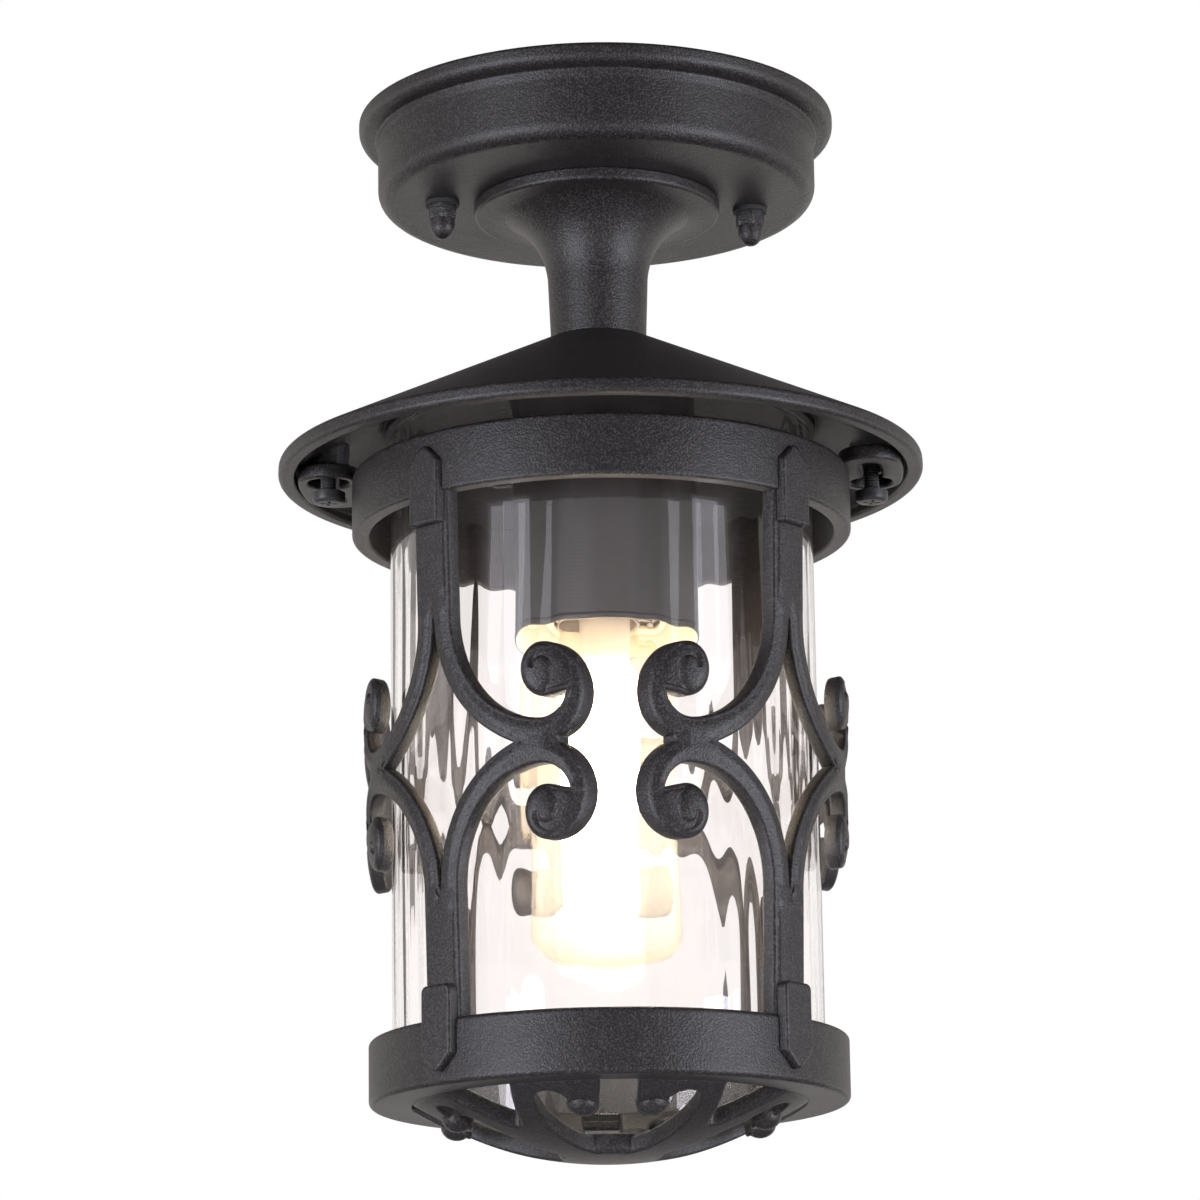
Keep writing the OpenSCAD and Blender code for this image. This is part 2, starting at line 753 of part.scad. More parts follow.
module holder_cap() {
    w = holder_wall;
    z_dome = z_holder - nipple_h;
    z_side = z_dome - dome_fall;
    color([0.93, 0.91, 0.86])
        rotate_extrude()
            polygon(concat(
                [[tube_r + thread_gap, z_holder], [nipple_r, z_holder], [nipple_r, z_dome]],
                reversed([for (p = quarter(holder_r - nipple_r, z_side, z_dome, 6))
                    [p[0] + nipple_r, p[1]]]),
                [[holder_r, z_side], [holder_r, z_holder_joint]],
                [[holder_r - w, z_holder_joint], [holder_r - w, z_side]],
                [for (p = quarter(holder_r - w - nipple_r, z_side, z_dome - w, 6))
                    [p[0] + nipple_r, p[1]]],
                [[tube_r + thread_gap, z_dome - w]]
            ));
}

module holder_skirt() {
    lip = 2.2;
    color([0.93, 0.91, 0.86])
        rotate_extrude()
            polygon([
                [holder_r, z_holder_joint], [holder_r, z_skirt + 1], [holder_r - 1, z_skirt],
                [holder_r - holder_wall - lip, z_skirt],
                [holder_r - holder_wall - lip, z_skirt + 1.5],
                [holder_r - holder_wall, z_skirt + 1.5],
                [holder_r - holder_wall, z_holder_joint]
            ]);
}

module holder_insert() {
    color("white") rod(insert_r, z_insert, z_insert_top);
}

module holder_shell() {
    bore = lamp_cap_r + lamp_fit;
    color("silver") turned_ring(bore, bore + shell_wall, z_skirt + 1.6, z_insert);
}

module holder_contact() {
    color("goldenrod") {
        translate([-4, -2.5, z_insert - contact_h]) cube([8, 5, 0.6]);
        translate([-1.5, -2.5, z_insert - contact_h + 0.3]) cube([3, 5, contact_h - 0.3]);
    }
}

module holder_terminals() {
    s = terminal_size;
    color("goldenrod")
        for (side = [-1, 1])
            translate([side * terminal_at - s[0] / 2, -s[1] / 2, z_insert_top]) cube(s);
}

// ---- Wires ----

function unit(v) = v / norm(v);
function along(p, i) = unit(p[min(i + 1, len(p) - 1)] - p[max(i - 1, 0)]);
function ring_at(c, t, r, n) =
    let (u = unit(cross(t, [1, 1, 0])), v = cross(t, u))
    [for (k = [0:n - 1]) c + r * (u * cos(360 * k / n) + v * sin(360 * k / n))];

module wire(route, sides = 8) {
    p = smooth(route, 2);
    rings = [for (i = [0:len(p) - 1]) each ring_at(p[i], along(p, i), wire_d / 2, sides)];
    last = (len(p) - 1) * sides;
    walls = [for (i = [0:len(p) - 2]) for (k = [0:sides - 1])
        let (a = i * sides + k, b = i * sides + (k + 1) % sides)
        each [[a, b, b + sides], [a, b + sides, a + sides]]];
    ends = [[for (k = [sides - 1:-1:0]) k], [for (k = [0:sides - 1]) last + k]];
    polyhedron(points = rings, faces = concat(walls, ends), convexity = 4);
}

module live_wire() {
    color("saddlebrown") wire(live_route);
}

module neutral_wire() {
    color("royalblue") wire(neutral_route);
}

module earth_wire() {
    color("yellowgreen") wire(earth_route);
}

// ---- Lamp ----

module lamp_contact() {
    color("silver")
        translate([0, 0, z_lamp_shoulder])
            cylinder(r1 = 4.6, r2 = 3.6, h = lamp_contact_h);
}

module lamp_cap() {
    inside = lamp_cap_r - lamp_cap_wall;
    color("silver")
        rotate_extrude()
            polygon([
                [0, z_lamp_shoulder], [5.4, z_lamp_shoulder], [8.4, z_lamp_shoulder - 2],
                [lamp_cap_r, z_lamp_thread], [lamp_cap_r, z_lamp_cap], [inside, z_lamp_cap],
                [inside, z_lamp_thread - 1], [0, z_lamp_thread - 1]
            ]);
}

// Profile of the envelope, drawn inwards by the wall for its inside
function envelope(w) = let (neck = lamp_cap_r - lamp_cap_wall - 0.1, r = lamp_r - w)
    let (z1 = z_lamp_cap - lamp_neck_h, z2 = z_lamp_tip + lamp_dome_h)
    concat(
        [[neck - w, z_lamp_cap + 3], [neck - w, z_lamp_cap - 2]],
        [for (i = [1:8]) let (t = i / 8, e = t * t * (3 - 2 * t))
            [neck - w + (r - neck + w) * e, z_lamp_cap - 2 + (z1 - z_lamp_cap + 2) * t]],
        [[r, z2]],
        quarter(r, z2, z_lamp_tip + w, 8)
    );

module lamp_envelope() {
    color([0.9, 0.95, 1, 0.4])
        rotate_extrude() polygon(concat(envelope(0), reversed(envelope(lamp_glass_t))));
}

module lamp_stem() {
    color("white") rod(lamp_stem_r, z_lamp_cap - lamp_stem_l, z_lamp_thread - 1);
}

module lamp_tube() {
    z0 = z_lamp_tip + lamp_tube_clear;
    z1 = z_lamp_cap - lamp_stem_l;
    e = lamp_tube_edge;
    color([1, 0.95, 0.8])
        rotate_extrude()
            polygon(concat(
                [[0, z1], [lamp_tube_r - e, z1], [lamp_tube_r, z1 - e]],
                [[lamp_tube_r, z0 + lamp_tube_dome]],
                quarter(lamp_tube_r, z0 + lamp_tube_dome, z0, 6)
            ));
}

// ---- Glass ----

module glass_tube() {
    color([0.85, 0.92, 0.95, 0.35])
        turned_ring(glass_r - glass_wall, glass_r, z_glass, z_glass_top);
}

module glass_base_gasket() {
    color([0.12, 0.12, 0.12])
        turned_ring(seat_in, glass_r + 0.8, z_ledge, z_glass);
}

// ---- Cage rings ----

// Outline at distance w from an arc of radius r between two angles
function arc_slot(r, a0, a1, w) = concat(
    arc([0, 0], r + w, a0, a1, 8),
    arc(r * [cos(a1), sin(a1)], w, a1, a1 + 180, 10, 1),
    arc([0, 0], r - w, a1, a0, 8, 1),
    arc(r * [cos(a0), sin(a0)], w, a0 + 180, a0 + 360, 10, 1)
);

module lug() {
    translate([0, 0, z_lug])
        difference() {
            linear_extrude(lug_t) polygon(arc_slot(keeper_at, -lock_turn, 0, lug_reach));
            translate([0, 0, -past]) {
                linear_extrude(lug_t + 2 * past)
                    polygon(arc_slot(keeper_at, -lock_turn, 0, keyslot_w / 2));
                translate([keeper_at, 0, 0])
                    cylinder(r = keyhole_r, h = lug_t + 2 * past);
            }
            rod(top_ring_r - top_ring_wall, -past, lug_t + past);
        }
}

module cage_top_ring() {
    color([0.16, 0.16, 0.18]) {
        turned_ring(top_ring_r - top_ring_wall, top_ring_r, z_ring, z_ring_top);
        for (side = [0, 180]) rotate([0, 0, side]) lug();
    }
}

module cage_bottom_ring() {
    e = low_ring_round;
    inside = low_ring_r - low_ring_wall;
    color([0.16, 0.16, 0.18])
        rotate_extrude()
            polygon(concat(
                [[inside, z_foot_top]],
                arc([low_ring_r - e, z_foot_top - e], e, 90, 0, 4),
                arc([low_ring_r - e, z_foot + e], e, 0, -90, 4),
                [[ledge_r, z_foot], [ledge_r, z_ledge], [inside, z_ledge]]
            ));
}

// ---- Scroll bars ----

// Outline of one half scroll: distance from the bay's centre line, and height
// above the level where the scrolls meet
sweep_in = sweep_r - strip_w;
sweep_c = [half_bay - sweep_r, fork_h];
head_c = [scroll_at, scroll_r];
knob_c = [scroll_at, 2 * scroll_r - knob_r];
eye_y = eye_floor + eye_r;
eye_c = [sweep_c[0] + sqrt(pow(sweep_in - eye_r, 2) - pow(fork_h - eye_y, 2)), eye_y];
cusp = crossing(knob_c, knob_r, eye_c, eye_r, -1);
eye_join = angle_from(sweep_c, eye_c);
contact_angle = acos((contact_end - scroll_at) / scroll_r);
half_scroll_outline = concat(
    arc(sweep_c, sweep_r, 0, -asin(fork_h / sweep_r), 12),
    [[contact_end, 0]],
    arc(head_c, scroll_r, -contact_angle, -270, 18),
    arc(knob_c, knob_r, 90, angle_from(knob_c, cusp), 18, 1),
    arc(eye_c, eye_r, angle_from(eye_c, cusp), eye_join, 9, 1),
    arc(sweep_c, sweep_in, eye_join, 0, 9, 1)
);

// The band is cut square to the line half way between the bar and the bay's
// centre, so the outline is laid on the curved face of the band from there
function on_band(q) =
    [band_r * sin(bay_angle / 4 - q[0] / band_r * 180 / PI), q[1]];

module band_shell() {
    h = 2 * fork_h;
    z0 = z_meet - fork_h;
    low = band_r - bar_lean * fork_h;
    high = band_r + bar_lean * fork_h;
    difference() {
        translate([0, 0, z0]) cylinder(r1 = low, r2 = high, h = h);
        translate([0, 0, z0 - past])
            cylinder(r1 = low - band_t - bar_lean * past,
                r2 = high - band_t + bar_lean * past, h = h + 2 * past);
    }
}

module half_scroll() {
    depth = 30;
    intersection() {
        rotate([0, 0, bay_angle / 4])
            translate([band_r - depth + 3, 0, z_meet])
                rotate([90, 0, 90])
                    linear_extrude(depth)
                        polygon([for (q = half_scroll_outline) on_band(q)]);
        band_shell();
    }
    knob_z = z_meet + knob_c[1];
    knob_angle = bay_angle / 2 - knob_c[0] / band_r * 180 / PI;
    sink = 2;
    rotate([0, 0, knob_angle])
        translate([band_r + bar_lean * knob_c[1] - 0.4, 0, knob_z])
            rotate([0, 90, 0])
                rotate_extrude()
                    polygon(concat([[0, -sink], [dome_r, -sink], [dome_r, 0]],
                        quarter(dome_r, 0, dome_h, 5)));
}

module mirror_copy(v) {
    children();
    mirror(v) children();
}

module straight_bar(h0, h1) {
    translate([0, 0, z_meet])
        rotate([0, tilt, 0])
            translate([band_r - band_t + 0.1, -bar_w / 2, h0]) cube([band_t, bar_w, h1 - h0]);
}

// Pointed tab standing up from its square end at [0, 0, 0]
module tab(l, inner, face) {
    translate([inner, 0, 0])
        rotate([90, 0, 90])
            linear_extrude(face - inner)
                polygon([
                    [-tab_w / 2, 0], [tab_w / 2, 0], [tab_w / 2, l - tab_point_h],
                    [0, l], [-tab_w / 2, l - tab_point_h]
                ]);
}

module scroll_bar(turn) {
    overlap = 2;
    rotate([0, 0, turn])
        difference() {
            union() {
                mirror_copy([0, 1, 0]) half_scroll();
                translate([0, 0, z_meet]) mirror([0, 0, 1]) translate([0, 0, -z_meet])
                    mirror_copy([0, 1, 0]) half_scroll();
                straight_bar(fork_h - overlap, z_ring - z_meet + overlap);
                straight_bar(z_foot_top - z_meet - overlap, -fork_h + overlap);
                translate([0, 0, z_ring_top - top_tab_drop - top_tab_l])
                    tab(top_tab_l, band_r - 2, top_tab_at);
                translate([0, 0, z_foot + low_tab_rise + low_tab_l]) mirror([0, 0, 1])
                    tab(low_tab_l, band_r - 4, low_tab_at);
            }
            rod(top_ring_r, z_ring, z_ring_top + past);
            rod(low_ring_r, z_foot - past, z_foot_top);
        }
}

module scroll_bar_front_right() {
    color([0.17, 0.17, 0.19]) scroll_bar(-45);
}

module scroll_bar_back_right() {
    color([0.17, 0.17, 0.19]) scroll_bar(45);
}

module scroll_bar_back_left() {
    color([0.17, 0.17, 0.19]) scroll_bar(135);
}

module scroll_bar_front_left() {
    color([0.17, 0.17, 0.19]) scroll_bar(-135);
}

// ---- Bottom grille ----

// Half of a heart opening, drawn along +Y: its side, and the way round the knob.
// The opening runs out past the ledge between the two knobs.
heart_side = smooth([
    [0, boss_r - 2], [4.6, boss_r - 1.6], [heart_half_w * 0.43, boss_r + 3.6],
    [heart_half_w * 0.63, boss_r + 10.3], [heart_half_w * 0.82, boss_r + 17.7],
    [heart_half_w * 0.965, boss_r + 26], [heart_half_w, boss_r + 30.4],
    [heart_half_w * 0.96, boss_r + 33.2], [heart_half_w * 0.87, boss_r + 34.8],
    [heart_half_w * 0.76, boss_r + 35], [heart_half_w * 0.65, boss_r + 33.6]
], 3);
heart_knob = arc([grille_knob_side, grille_knob_out], grille_knob_r, 20, -180, 13);
heart_half = concat(heart_side, heart_knob,
    [[grille_knob_side - grille_knob_r, ledge_r + past]]);
heart_outline = concat(heart_half, reversed(mirrored([for (i = [1:len(heart_half) - 1])
    heart_half[i]])));

// Half of the gap between two hearts, drawn along +Y
wedge_half = smooth([
    [0, wedge_tip], [1.5, wedge_tip + 0.9], [3.9, wedge_tip + 4.6], [7.4, wedge_tip + 10.2],
    [11.6, wedge_tip + 16], [12.6, wedge_tip + 18.6], [13.4, ledge_r + 4 * past]
], 3);
wedge_outline = concat(wedge_half,
    reversed(mirrored([for (i = [1:len(wedge_half) - 1]) wedge_half[i]])));

// The bowl is cut flat at the boss, so that the two run into each other
module bowl() {
    intersection() {
        translate([0, 0, z_boss + sqrt(bowl_r * bowl_r - boss_r * boss_r)])
            difference() {
                sphere(r = bowl_r);
                sphere(r = bowl_r - grille_t);
            }
        rod(ledge_r, z_boss, z_foot + 2 * ledge_t);
    }
}

module bottom_grille() {
    reach = grille_drop + 4 * ledge_t;
    color([0.17, 0.17, 0.19])
        difference() {
            union() {
                difference() {
                    bowl();
                    for (k = [0:bay_count - 1])
                        rotate([0, 0, k * bay_angle])
                            translate([0, 0, z_boss - past]) {
                                linear_extrude(reach) polygon(heart_outline);
                                rotate([0, 0, bay_angle / 2])
                                    linear_extrude(reach) polygon(wedge_outline);
                            }
                }
                rod(boss_r, z_boss, z_boss + boss_t);
            }
            rod(recess_r, z_boss - past, z_boss + recess_depth);
            rod(boss_screw_d / 2 + thread_gap, z_boss, z_boss + boss_t + past);
        }
}

module cross_recess(z, up) {
    translate([0, 0, z])
        for (turn = [0, 90])
            rotate([0, 0, turn])
                translate([-cross_l / 2, -cross_w / 2, -past])
                    cube([cross_l, cross_w, past + up]);
}

module boss_screw() {
    z_seat_in = z_boss + recess_depth;
    z_head = z_seat_in - boss_screw_head_h;
    color([0.35, 0.25, 0.2])
        difference() {
            union() {
                rod(recess_r - 0.6, z_head, z_seat_in);
                rod(boss_screw_d / 2, z_seat_in - 0.5, z_boss + boss_t);
            }
            cross_recess(z_head, cross_depth);
        }
}

// ---- Retaining screws ----

module keeper_washer() {
    color("silver")
        translate([keeper_at, 0, 0])
            turned_ring(keeper_hole_r, keeper_head_d / 2 + 0.05,
                z_keeper_washer, z_keeper_washer + keeper_washer_t);
}

module keeper_screw() {
    r = keeper_head_d / 2;
    edge = 0.8;
    color([0.22, 0.22, 0.24])
        translate([keeper_at, 0, 0])
            difference() {
                union() {
                    rod(keeper_d / 2, z_keeper_washer - 0.5, z_keeper_tip);
                    rotate_extrude()
                        polygon(concat(
                            [[0, z_keeper_washer], [r, z_keeper_washer]],
                            [[r, z_keeper_head + edge], [r - edge, z_keeper_head]],
                            [[0, z_keeper_head]]
                        ));
                }
                cross_recess(z_keeper_head, cross_depth);
            }
}

module keeper_washer_right() {
    keeper_washer();
}

module keeper_washer_left() {
    rotate([0, 0, 180]) keeper_washer();
}

module keeper_screw_right() {
    keeper_screw();
}

module keeper_screw_left() {
    rotate([0, 0, 180]) keeper_screw();
}

ceiling_gasket();
mounting_bracket();
bracket_studs();
canopy();
seal_washers();
dome_nuts();
terminal_block();
terminal_screws();
earth_terminal();
stem_gasket();
stem();
roof_gasket();
threaded_tube();
tube_washers();
tube_nuts();
roof();
roof_bosses();
glass_top_gasket();
holder_cup();
holder_cap();
holder_insert();
holder_skirt();
holder_shell();
holder_contact();
holder_terminals();
live_wire();
neutral_wire();
earth_wire();
lamp_contact();
lamp_cap();
lamp_stem();
lamp_tube();
lamp_envelope();
glass_tube();
glass_base_gasket();
cage_top_ring();
cage_bottom_ring();
scroll_bar_front_right();
scroll_bar_back_right();
scroll_bar_back_left();
scroll_bar_front_left();
bottom_grille();
boss_screw();
keeper_washer_right();
keeper_washer_left();
keeper_screw_right();
keeper_screw_left();
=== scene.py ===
"""Porch ceiling lantern: finished pieces, materials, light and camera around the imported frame."""

import math
from functools import partial

import bmesh
import bpy
from mathutils import Matrix, Vector, geometry, kdtree, noise


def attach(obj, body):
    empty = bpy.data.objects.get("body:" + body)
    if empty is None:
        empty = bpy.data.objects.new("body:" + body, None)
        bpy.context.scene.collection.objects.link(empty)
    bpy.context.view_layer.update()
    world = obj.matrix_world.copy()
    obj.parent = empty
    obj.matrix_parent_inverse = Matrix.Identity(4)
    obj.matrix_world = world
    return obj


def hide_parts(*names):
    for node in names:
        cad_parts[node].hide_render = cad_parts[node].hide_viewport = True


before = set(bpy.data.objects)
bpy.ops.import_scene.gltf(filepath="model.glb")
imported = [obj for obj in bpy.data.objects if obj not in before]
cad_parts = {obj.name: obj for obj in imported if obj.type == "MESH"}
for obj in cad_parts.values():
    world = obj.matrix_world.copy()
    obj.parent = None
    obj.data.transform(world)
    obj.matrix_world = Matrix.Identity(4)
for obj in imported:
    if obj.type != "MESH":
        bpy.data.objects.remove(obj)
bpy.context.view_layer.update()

# ---------------------------------------------------------------------------
# Sizes in millimetres, as in the part's source; the outline of the scroll bars alone
# differs from it by up to 4 mm, to follow the photograph
# ---------------------------------------------------------------------------

MM = 0.001

CANOPY_R = 67.0
CANOPY_H = 27.2
CANOPY_WALL = 2.5
CANOPY_FILLET = 4.5
LIP_R = 72.8
LIP_H = 5.6
LIP_TOP = -0.5
STUD_AT = 47.5
STUD_TURN = 4.0
SEAL_WASHER_T = 1.2
NUT_AF = 8.0
NUT_HEX_H = 4.6
NUT_DOME_R = 3.75

FLANGE_R = 37.6
FLANGE_T = 3.9
STEM_R = 15.2
STEM_FOOT_R = 14.5
FLARE_R = 24.6
FLARE_H = 25.8
TUBE_HOLE_R = 5.4
ROOF_TOP = -70.8

ROOF_R = 97.5
ROOF_TOP_R = 15.5
ROOF_FALL = 39.4
RIM_H = 4.2
RIM_W = 5.0
ROOF_WALL = 3.0
HUB_R = 14.0
HUB = -80.5
SEAT_EDGE = 1.4
KEEPER_AT = 82.2
KEEPER_HOLE_R = 2.6
KEEPER_BOSS_R = 6.0
KEEPER_BOSS = -110.8
KEEPER_WASHER = -119.1
KEEPER_HEAD_R = 4.95
KEEPER_HEAD_H = 2.4
KEEPER_L = 10.0
KEEPER_R = 2.45
KEEPER_PITCH = 0.8

LUG_TOP = -111.0
LUG_T = 4.4
LUG_REACH = 9.3
LOCK_TURN = 14.0
KEYHOLE_R = 6.35
KEYSLOT_W = 5.6
TOP_RING_R = 75.2
TOP_RING_WALL = 5.2
TOP_RING_TOP = -113.9
TOP_RING = -132.5

LOW_RING_R = 70.7
LOW_RING_WALL = 5.7
LOW_RING_TOP = -285.4
FOOT = -304.3
LEDGE = -301.3
LEDGE_R = 58.0

BAY_COUNT = 4
BAND_R = 72.8
BAND_T = 5.6
BAR_LEAN = 0.028
MEET = -208.8
FORK_H = 39.6
SWEEP_R = 43.2
STRIP_W = 6.8
SCROLL_AT = 20.2
SCROLL_R = 14.3
KNOB_R = 8.0
HEAD_SQUEEZE = 0.81
EYE_R = 9.9
EYE_AT = 21.5
EYE_FLOOR = 6.6
WEB_ANGLE = 165.0
CONTACT_END = 15.2

TAB_W = 11.4
TAB_POINT = 5.5
TOP_TAB_FACE = 77.2
TOP_TAB = (-142.0, -117.6)
LOW_TAB_FACE = 73.4
LOW_TAB = (-301.4, -276.1)

BOWL_R = 112.0
GRILLE_R = LEDGE_R + 0.4
GRILLE_T = 5.0
BOSS = -319.8
BOSS_R = 15.3
BOSS_T = 5.8
RECESS_R = 6.5
RECESS_DEPTH = 2.6
HEART_HALF_W = 23.5
GRILLE_KNOB_R = 4.4
GRILLE_KNOB = (9.8, 44.8)
WEDGE_TIP = 39.0

GLASS_R = 63.7
GLASS_WALL = 3.7
GLASS_TOP = -101.3
GLASS_FOOT = -299.3
FLUTES = 34

CUP_R = 28.5
CUP_WALL = 1.2
CUP_TOP = -80.5
CUP_MOUTH = -164.0
HOLDER_R = 20.0
HOLDER_JOINT = -116.0
HOLDER_FOOT = -159.5

LAMP_CAP_R = 13.1
LAMP_SHOULDER = -134.8
LAMP_THREAD = -138.8
LAMP_CAP_FOOT = -159.8
LAMP_TIP = -263.0
LAMP_R = 23.0
LAMP_TUBE_R = 12.0
THREAD_PITCH = 3.629


# ---------------------------------------------------------------------------
# Node arithmetic
# ---------------------------------------------------------------------------


class Signal:
    """One node socket, with plain arithmetic that adds Math nodes."""

    def __init__(self, finish, socket):
        self.finish = finish
        self.socket = socket

    def __add__(self, other):
        return self.finish.math("ADD", self, other)

    __radd__ = __add__

    def __sub__(self, other):
        return self.finish.math("SUBTRACT", self, other)

    def __rsub__(self, other):
        return self.finish.math("SUBTRACT", other, self)

    def __mul__(self, other):
        return self.finish.math("MULTIPLY", self, other)

    __rmul__ = __mul__

    def __truediv__(self, other):
        return self.finish.math("DIVIDE", self, other)

    def __pow__(self, other):
        return self.finish.math("POWER", self, other)

    def above(self, edge, soft):
        """0 below the edge, 1 above it, with a soft step between."""
        ends = {"Value": self, "From Min": edge - soft, "From Max": edge + soft}
        made = self.finish.node("ShaderNodeMapRange", ends, interpolation_type="SMOOTHSTEP")
        return made["Result"]


class Outputs:
    """A node's outputs, by name or by number."""

    def __init__(self, finish, node):
        self.finish = finish
        self.node = node

    def __getitem__(self, key):
        return Signal(self.finish, self.node.outputs[key])


class Finish:
    """Nodes of a material, the world or a Geometry Nodes tree, under construction."""

    def __init__(self, tree):
        self.tree = tree
        self.tree.nodes.clear()
        self._place = None

    def node(self, kind, sockets=None, **settings):
        """New node with its sockets set or linked, by name or number."""
        made = self.tree.nodes.new(kind)
        for key, value in settings.items():
            setattr(made, key, value)
        for key, value in (sockets or {}).items():
            slot = made.inputs[key]
            if isinstance(value, Signal):
                self.tree.links.new(value.socket, slot)
            elif slot.type == "RGBA" and len(value) == 3:
                slot.default_value = (*value, 1.0)
            else:
                slot.default_value = value
        return Outputs(self, made)

    def math(self, operation, *values):
        return self.node("ShaderNodeMath", dict(enumerate(values)), operation=operation)[0]

    def place(self):
        """Object coordinates."""
        if self._place is None:
            self._place = self.node("ShaderNodeTexCoord")["Object"]
        return self._place

    def axes(self):
        """Object coordinates, as X, Y and Z."""
        return self.node("ShaderNodeSeparateXYZ", {"Vector": self.place()})

    def speckle(self, size_mm, detail=2.0, rough=0.5, offset=(0.0, 0.0, 0.0)):
        """Cloudy noise, 0 to 1, whose blobs are about size_mm across."""
        moved = self.node("ShaderNodeMapping", {"Vector": self.place(), "Location": offset})
        sockets = {"Vector": moved["Vector"], "Scale": 1000.0 / size_mm}
        sockets |= {"Detail": detail, "Roughness": rough}
        return self.node("ShaderNodeTexNoise", sockets)["Fac"]

    def streaks(self, scale):
        """Noise that is stretched along an axis; scale is its blobs a metre along X, Y and Z."""
        stretched = self.node("ShaderNodeMapping", {"Vector": self.place(), "Scale": scale})
        sockets = {"Vector": stretched["Vector"], "Scale": 1.0, "Detail": 2.0}
        return self.node("ShaderNodeTexNoise", sockets)["Fac"]

    def mix(self, factor, first, second):
        """Mix of two colours."""
        sockets = {0: factor, 6: first, 7: second}
        return self.node("ShaderNodeMix", sockets, data_type="RGBA")[2]

    def blend(self, factor, first, second):
        """Mix of two shaders."""
        return self.node("ShaderNodeMixShader", {0: factor, 1: first, 2: second})[0]

    def bump(self, height, depth_mm, strength=1.0, over=None):
        """Bumped normal, over an already bumped one where that is given."""
        sockets = {"Height": height, "Distance": depth_mm * MM, "Strength": strength}
        if over:
            sockets["Normal"] = over
        return self.node("ShaderNodeBump", sockets)["Normal"]

    def seen_directly(self):
        """1 for rays from the camera, also through glass, and 0 for all others."""
        rays = self.node("ShaderNodeLightPath")
        return self.math("MAXIMUM", rays["Is Camera Ray"], rays["Is Transmission Ray"])

    def output(self, shader):
        self.node("ShaderNodeOutputMaterial", {"Surface": shader})


def material(name):
    made = bpy.data.materials.new(name)
    made.use_nodes = True
    return made, Finish(made.node_tree)


def surface(finish, **values):
    """Principled surface on the material's output; underscores in names stand for spaces."""
    sockets = {key.replace("_", " "): value for key, value in values.items()}
    finish.output(finish.node("ShaderNodeBsdfPrincipled", sockets)["BSDF"])


# ---------------------------------------------------------------------------
# Finishes
# ---------------------------------------------------------------------------


def powder_coat_finish():
    """Charcoal powder coat: pale grains stand proud of a darker skin with a little orange peel."""
    made, f = material("charcoal powder coat")
    grain = f.speckle(0.62, 1.0)
    fine = f.speckle(0.36, 1.0, offset=(0.4, 0.2, 0.7))
    peel = f.speckle(3.4, 2.0)
    broad = f.speckle(38.0, 3.0, offset=(0.3, 0.1, 0.2))
    fleck = (0.55 * grain + 0.45 * fine).above(0.545, 0.055)
    colour = f.mix(broad, (0.0074, 0.0056, 0.0052), (0.0112, 0.0087, 0.0081))
    colour = f.mix(fleck * 0.9, colour, (0.046, 0.041, 0.042))
    colour = f.mix(peel.above(0.60, 0.12) * 0.4, colour, (0.0062, 0.0048, 0.0045))
    rough = 0.37 + 0.10 * broad + 0.14 * fine
    height = 0.7 * grain + 0.3 * fine
    normal = f.bump(peel, 0.16, 0.6, over=f.bump(height, 0.22))
    surface(f, Base_Color=colour, Roughness=rough, Normal=normal, Specular_IOR_Level=0.5)
    return made


def cup_outside_finish():
    """Satin charcoal paint on spun sheet, with faint turning marks."""
    made, f = material("satin charcoal paint")
    turning = f.math("SINE", f.axes()["Z"] * 5200.0)
    soft = f.speckle(12.0, 3.0)
    fine = f.speckle(0.5, 1.0)
    colour = f.mix(soft, (0.010, 0.008, 0.007), (0.018, 0.015, 0.014))
    rough = 0.40 + 0.15 * soft
    normal = f.bump(turning * 0.25 + fine * 0.6, 0.04, 0.5)
    surface(f, Base_Color=colour, Roughness=rough, Normal=normal)
    return made


def cup_inside_finish():
    """Cream enamel inside the cup, darker and browner towards the top."""
    made, f = material("cream enamel")
    up = (f.axes()["Z"] - CUP_MOUTH * MM) / 0.08
    soft = f.speckle(9.0, 3.0)
    colour = f.mix(soft, (0.78, 0.74, 0.67), (0.84, 0.81, 0.75))
    colour = f.mix(up.above(0.5, 0.5) * 0.5, colour, (0.52, 0.42, 0.30))
    normal = f.bump(f.speckle(1.6, 2.0), 0.03, 0.5)
    surface(f, Base_Color=colour, Roughness=0.35 + 0.15 * soft, Normal=normal)
    return made


def blackened_steel_finish():
    made, f = material("blackened steel")
    soft = f.speckle(2.2, 3.0)
    fine = f.speckle(0.25, 2.0)
    worn = fine.above(0.66, 0.05) * soft
    colour = f.mix(soft, (0.030, 0.030, 0.032), (0.050, 0.049, 0.050))
    colour = f.mix(worn, colour, (0.14, 0.13, 0.12))
    surface(
        f,
        Base_Color=colour,
        Metallic=0.25 + 0.5 * worn,
        Roughness=0.38 + 0.2 * soft,
        Normal=f.bump(fine, 0.03, 0.6),
    )
    return made


def zinc_finish():
    """Bright zinc plate with rolling marks and a cloudy spangle."""
    made, f = material("zinc plate")
    rolled = f.streaks((60.0, 2200.0, 2200.0))
    cloud = f.speckle(7.0, 3.0)
    colour = f.mix(cloud, (0.50, 0.51, 0.53), (0.68, 0.69, 0.70))
    surface(
        f,
        Base_Color=colour,
        Metallic=1.0,
        Roughness=0.28 + 0.22 * rolled,
        Normal=f.bump(rolled, 0.01, 0.4),
    )
    return made


def rubber_finish():
    made, f = material("black rubber")
    fine = f.speckle(0.3, 2.0)
    bloom = f.speckle(14.0, 3.0)
    colour = f.mix(bloom, (0.016, 0.016, 0.016), (0.034, 0.033, 0.032))
    surface(f, Base_Color=colour, Roughness=0.72 + 0.12 * bloom, Normal=f.bump(fine, 0.04, 0.7))
    return made


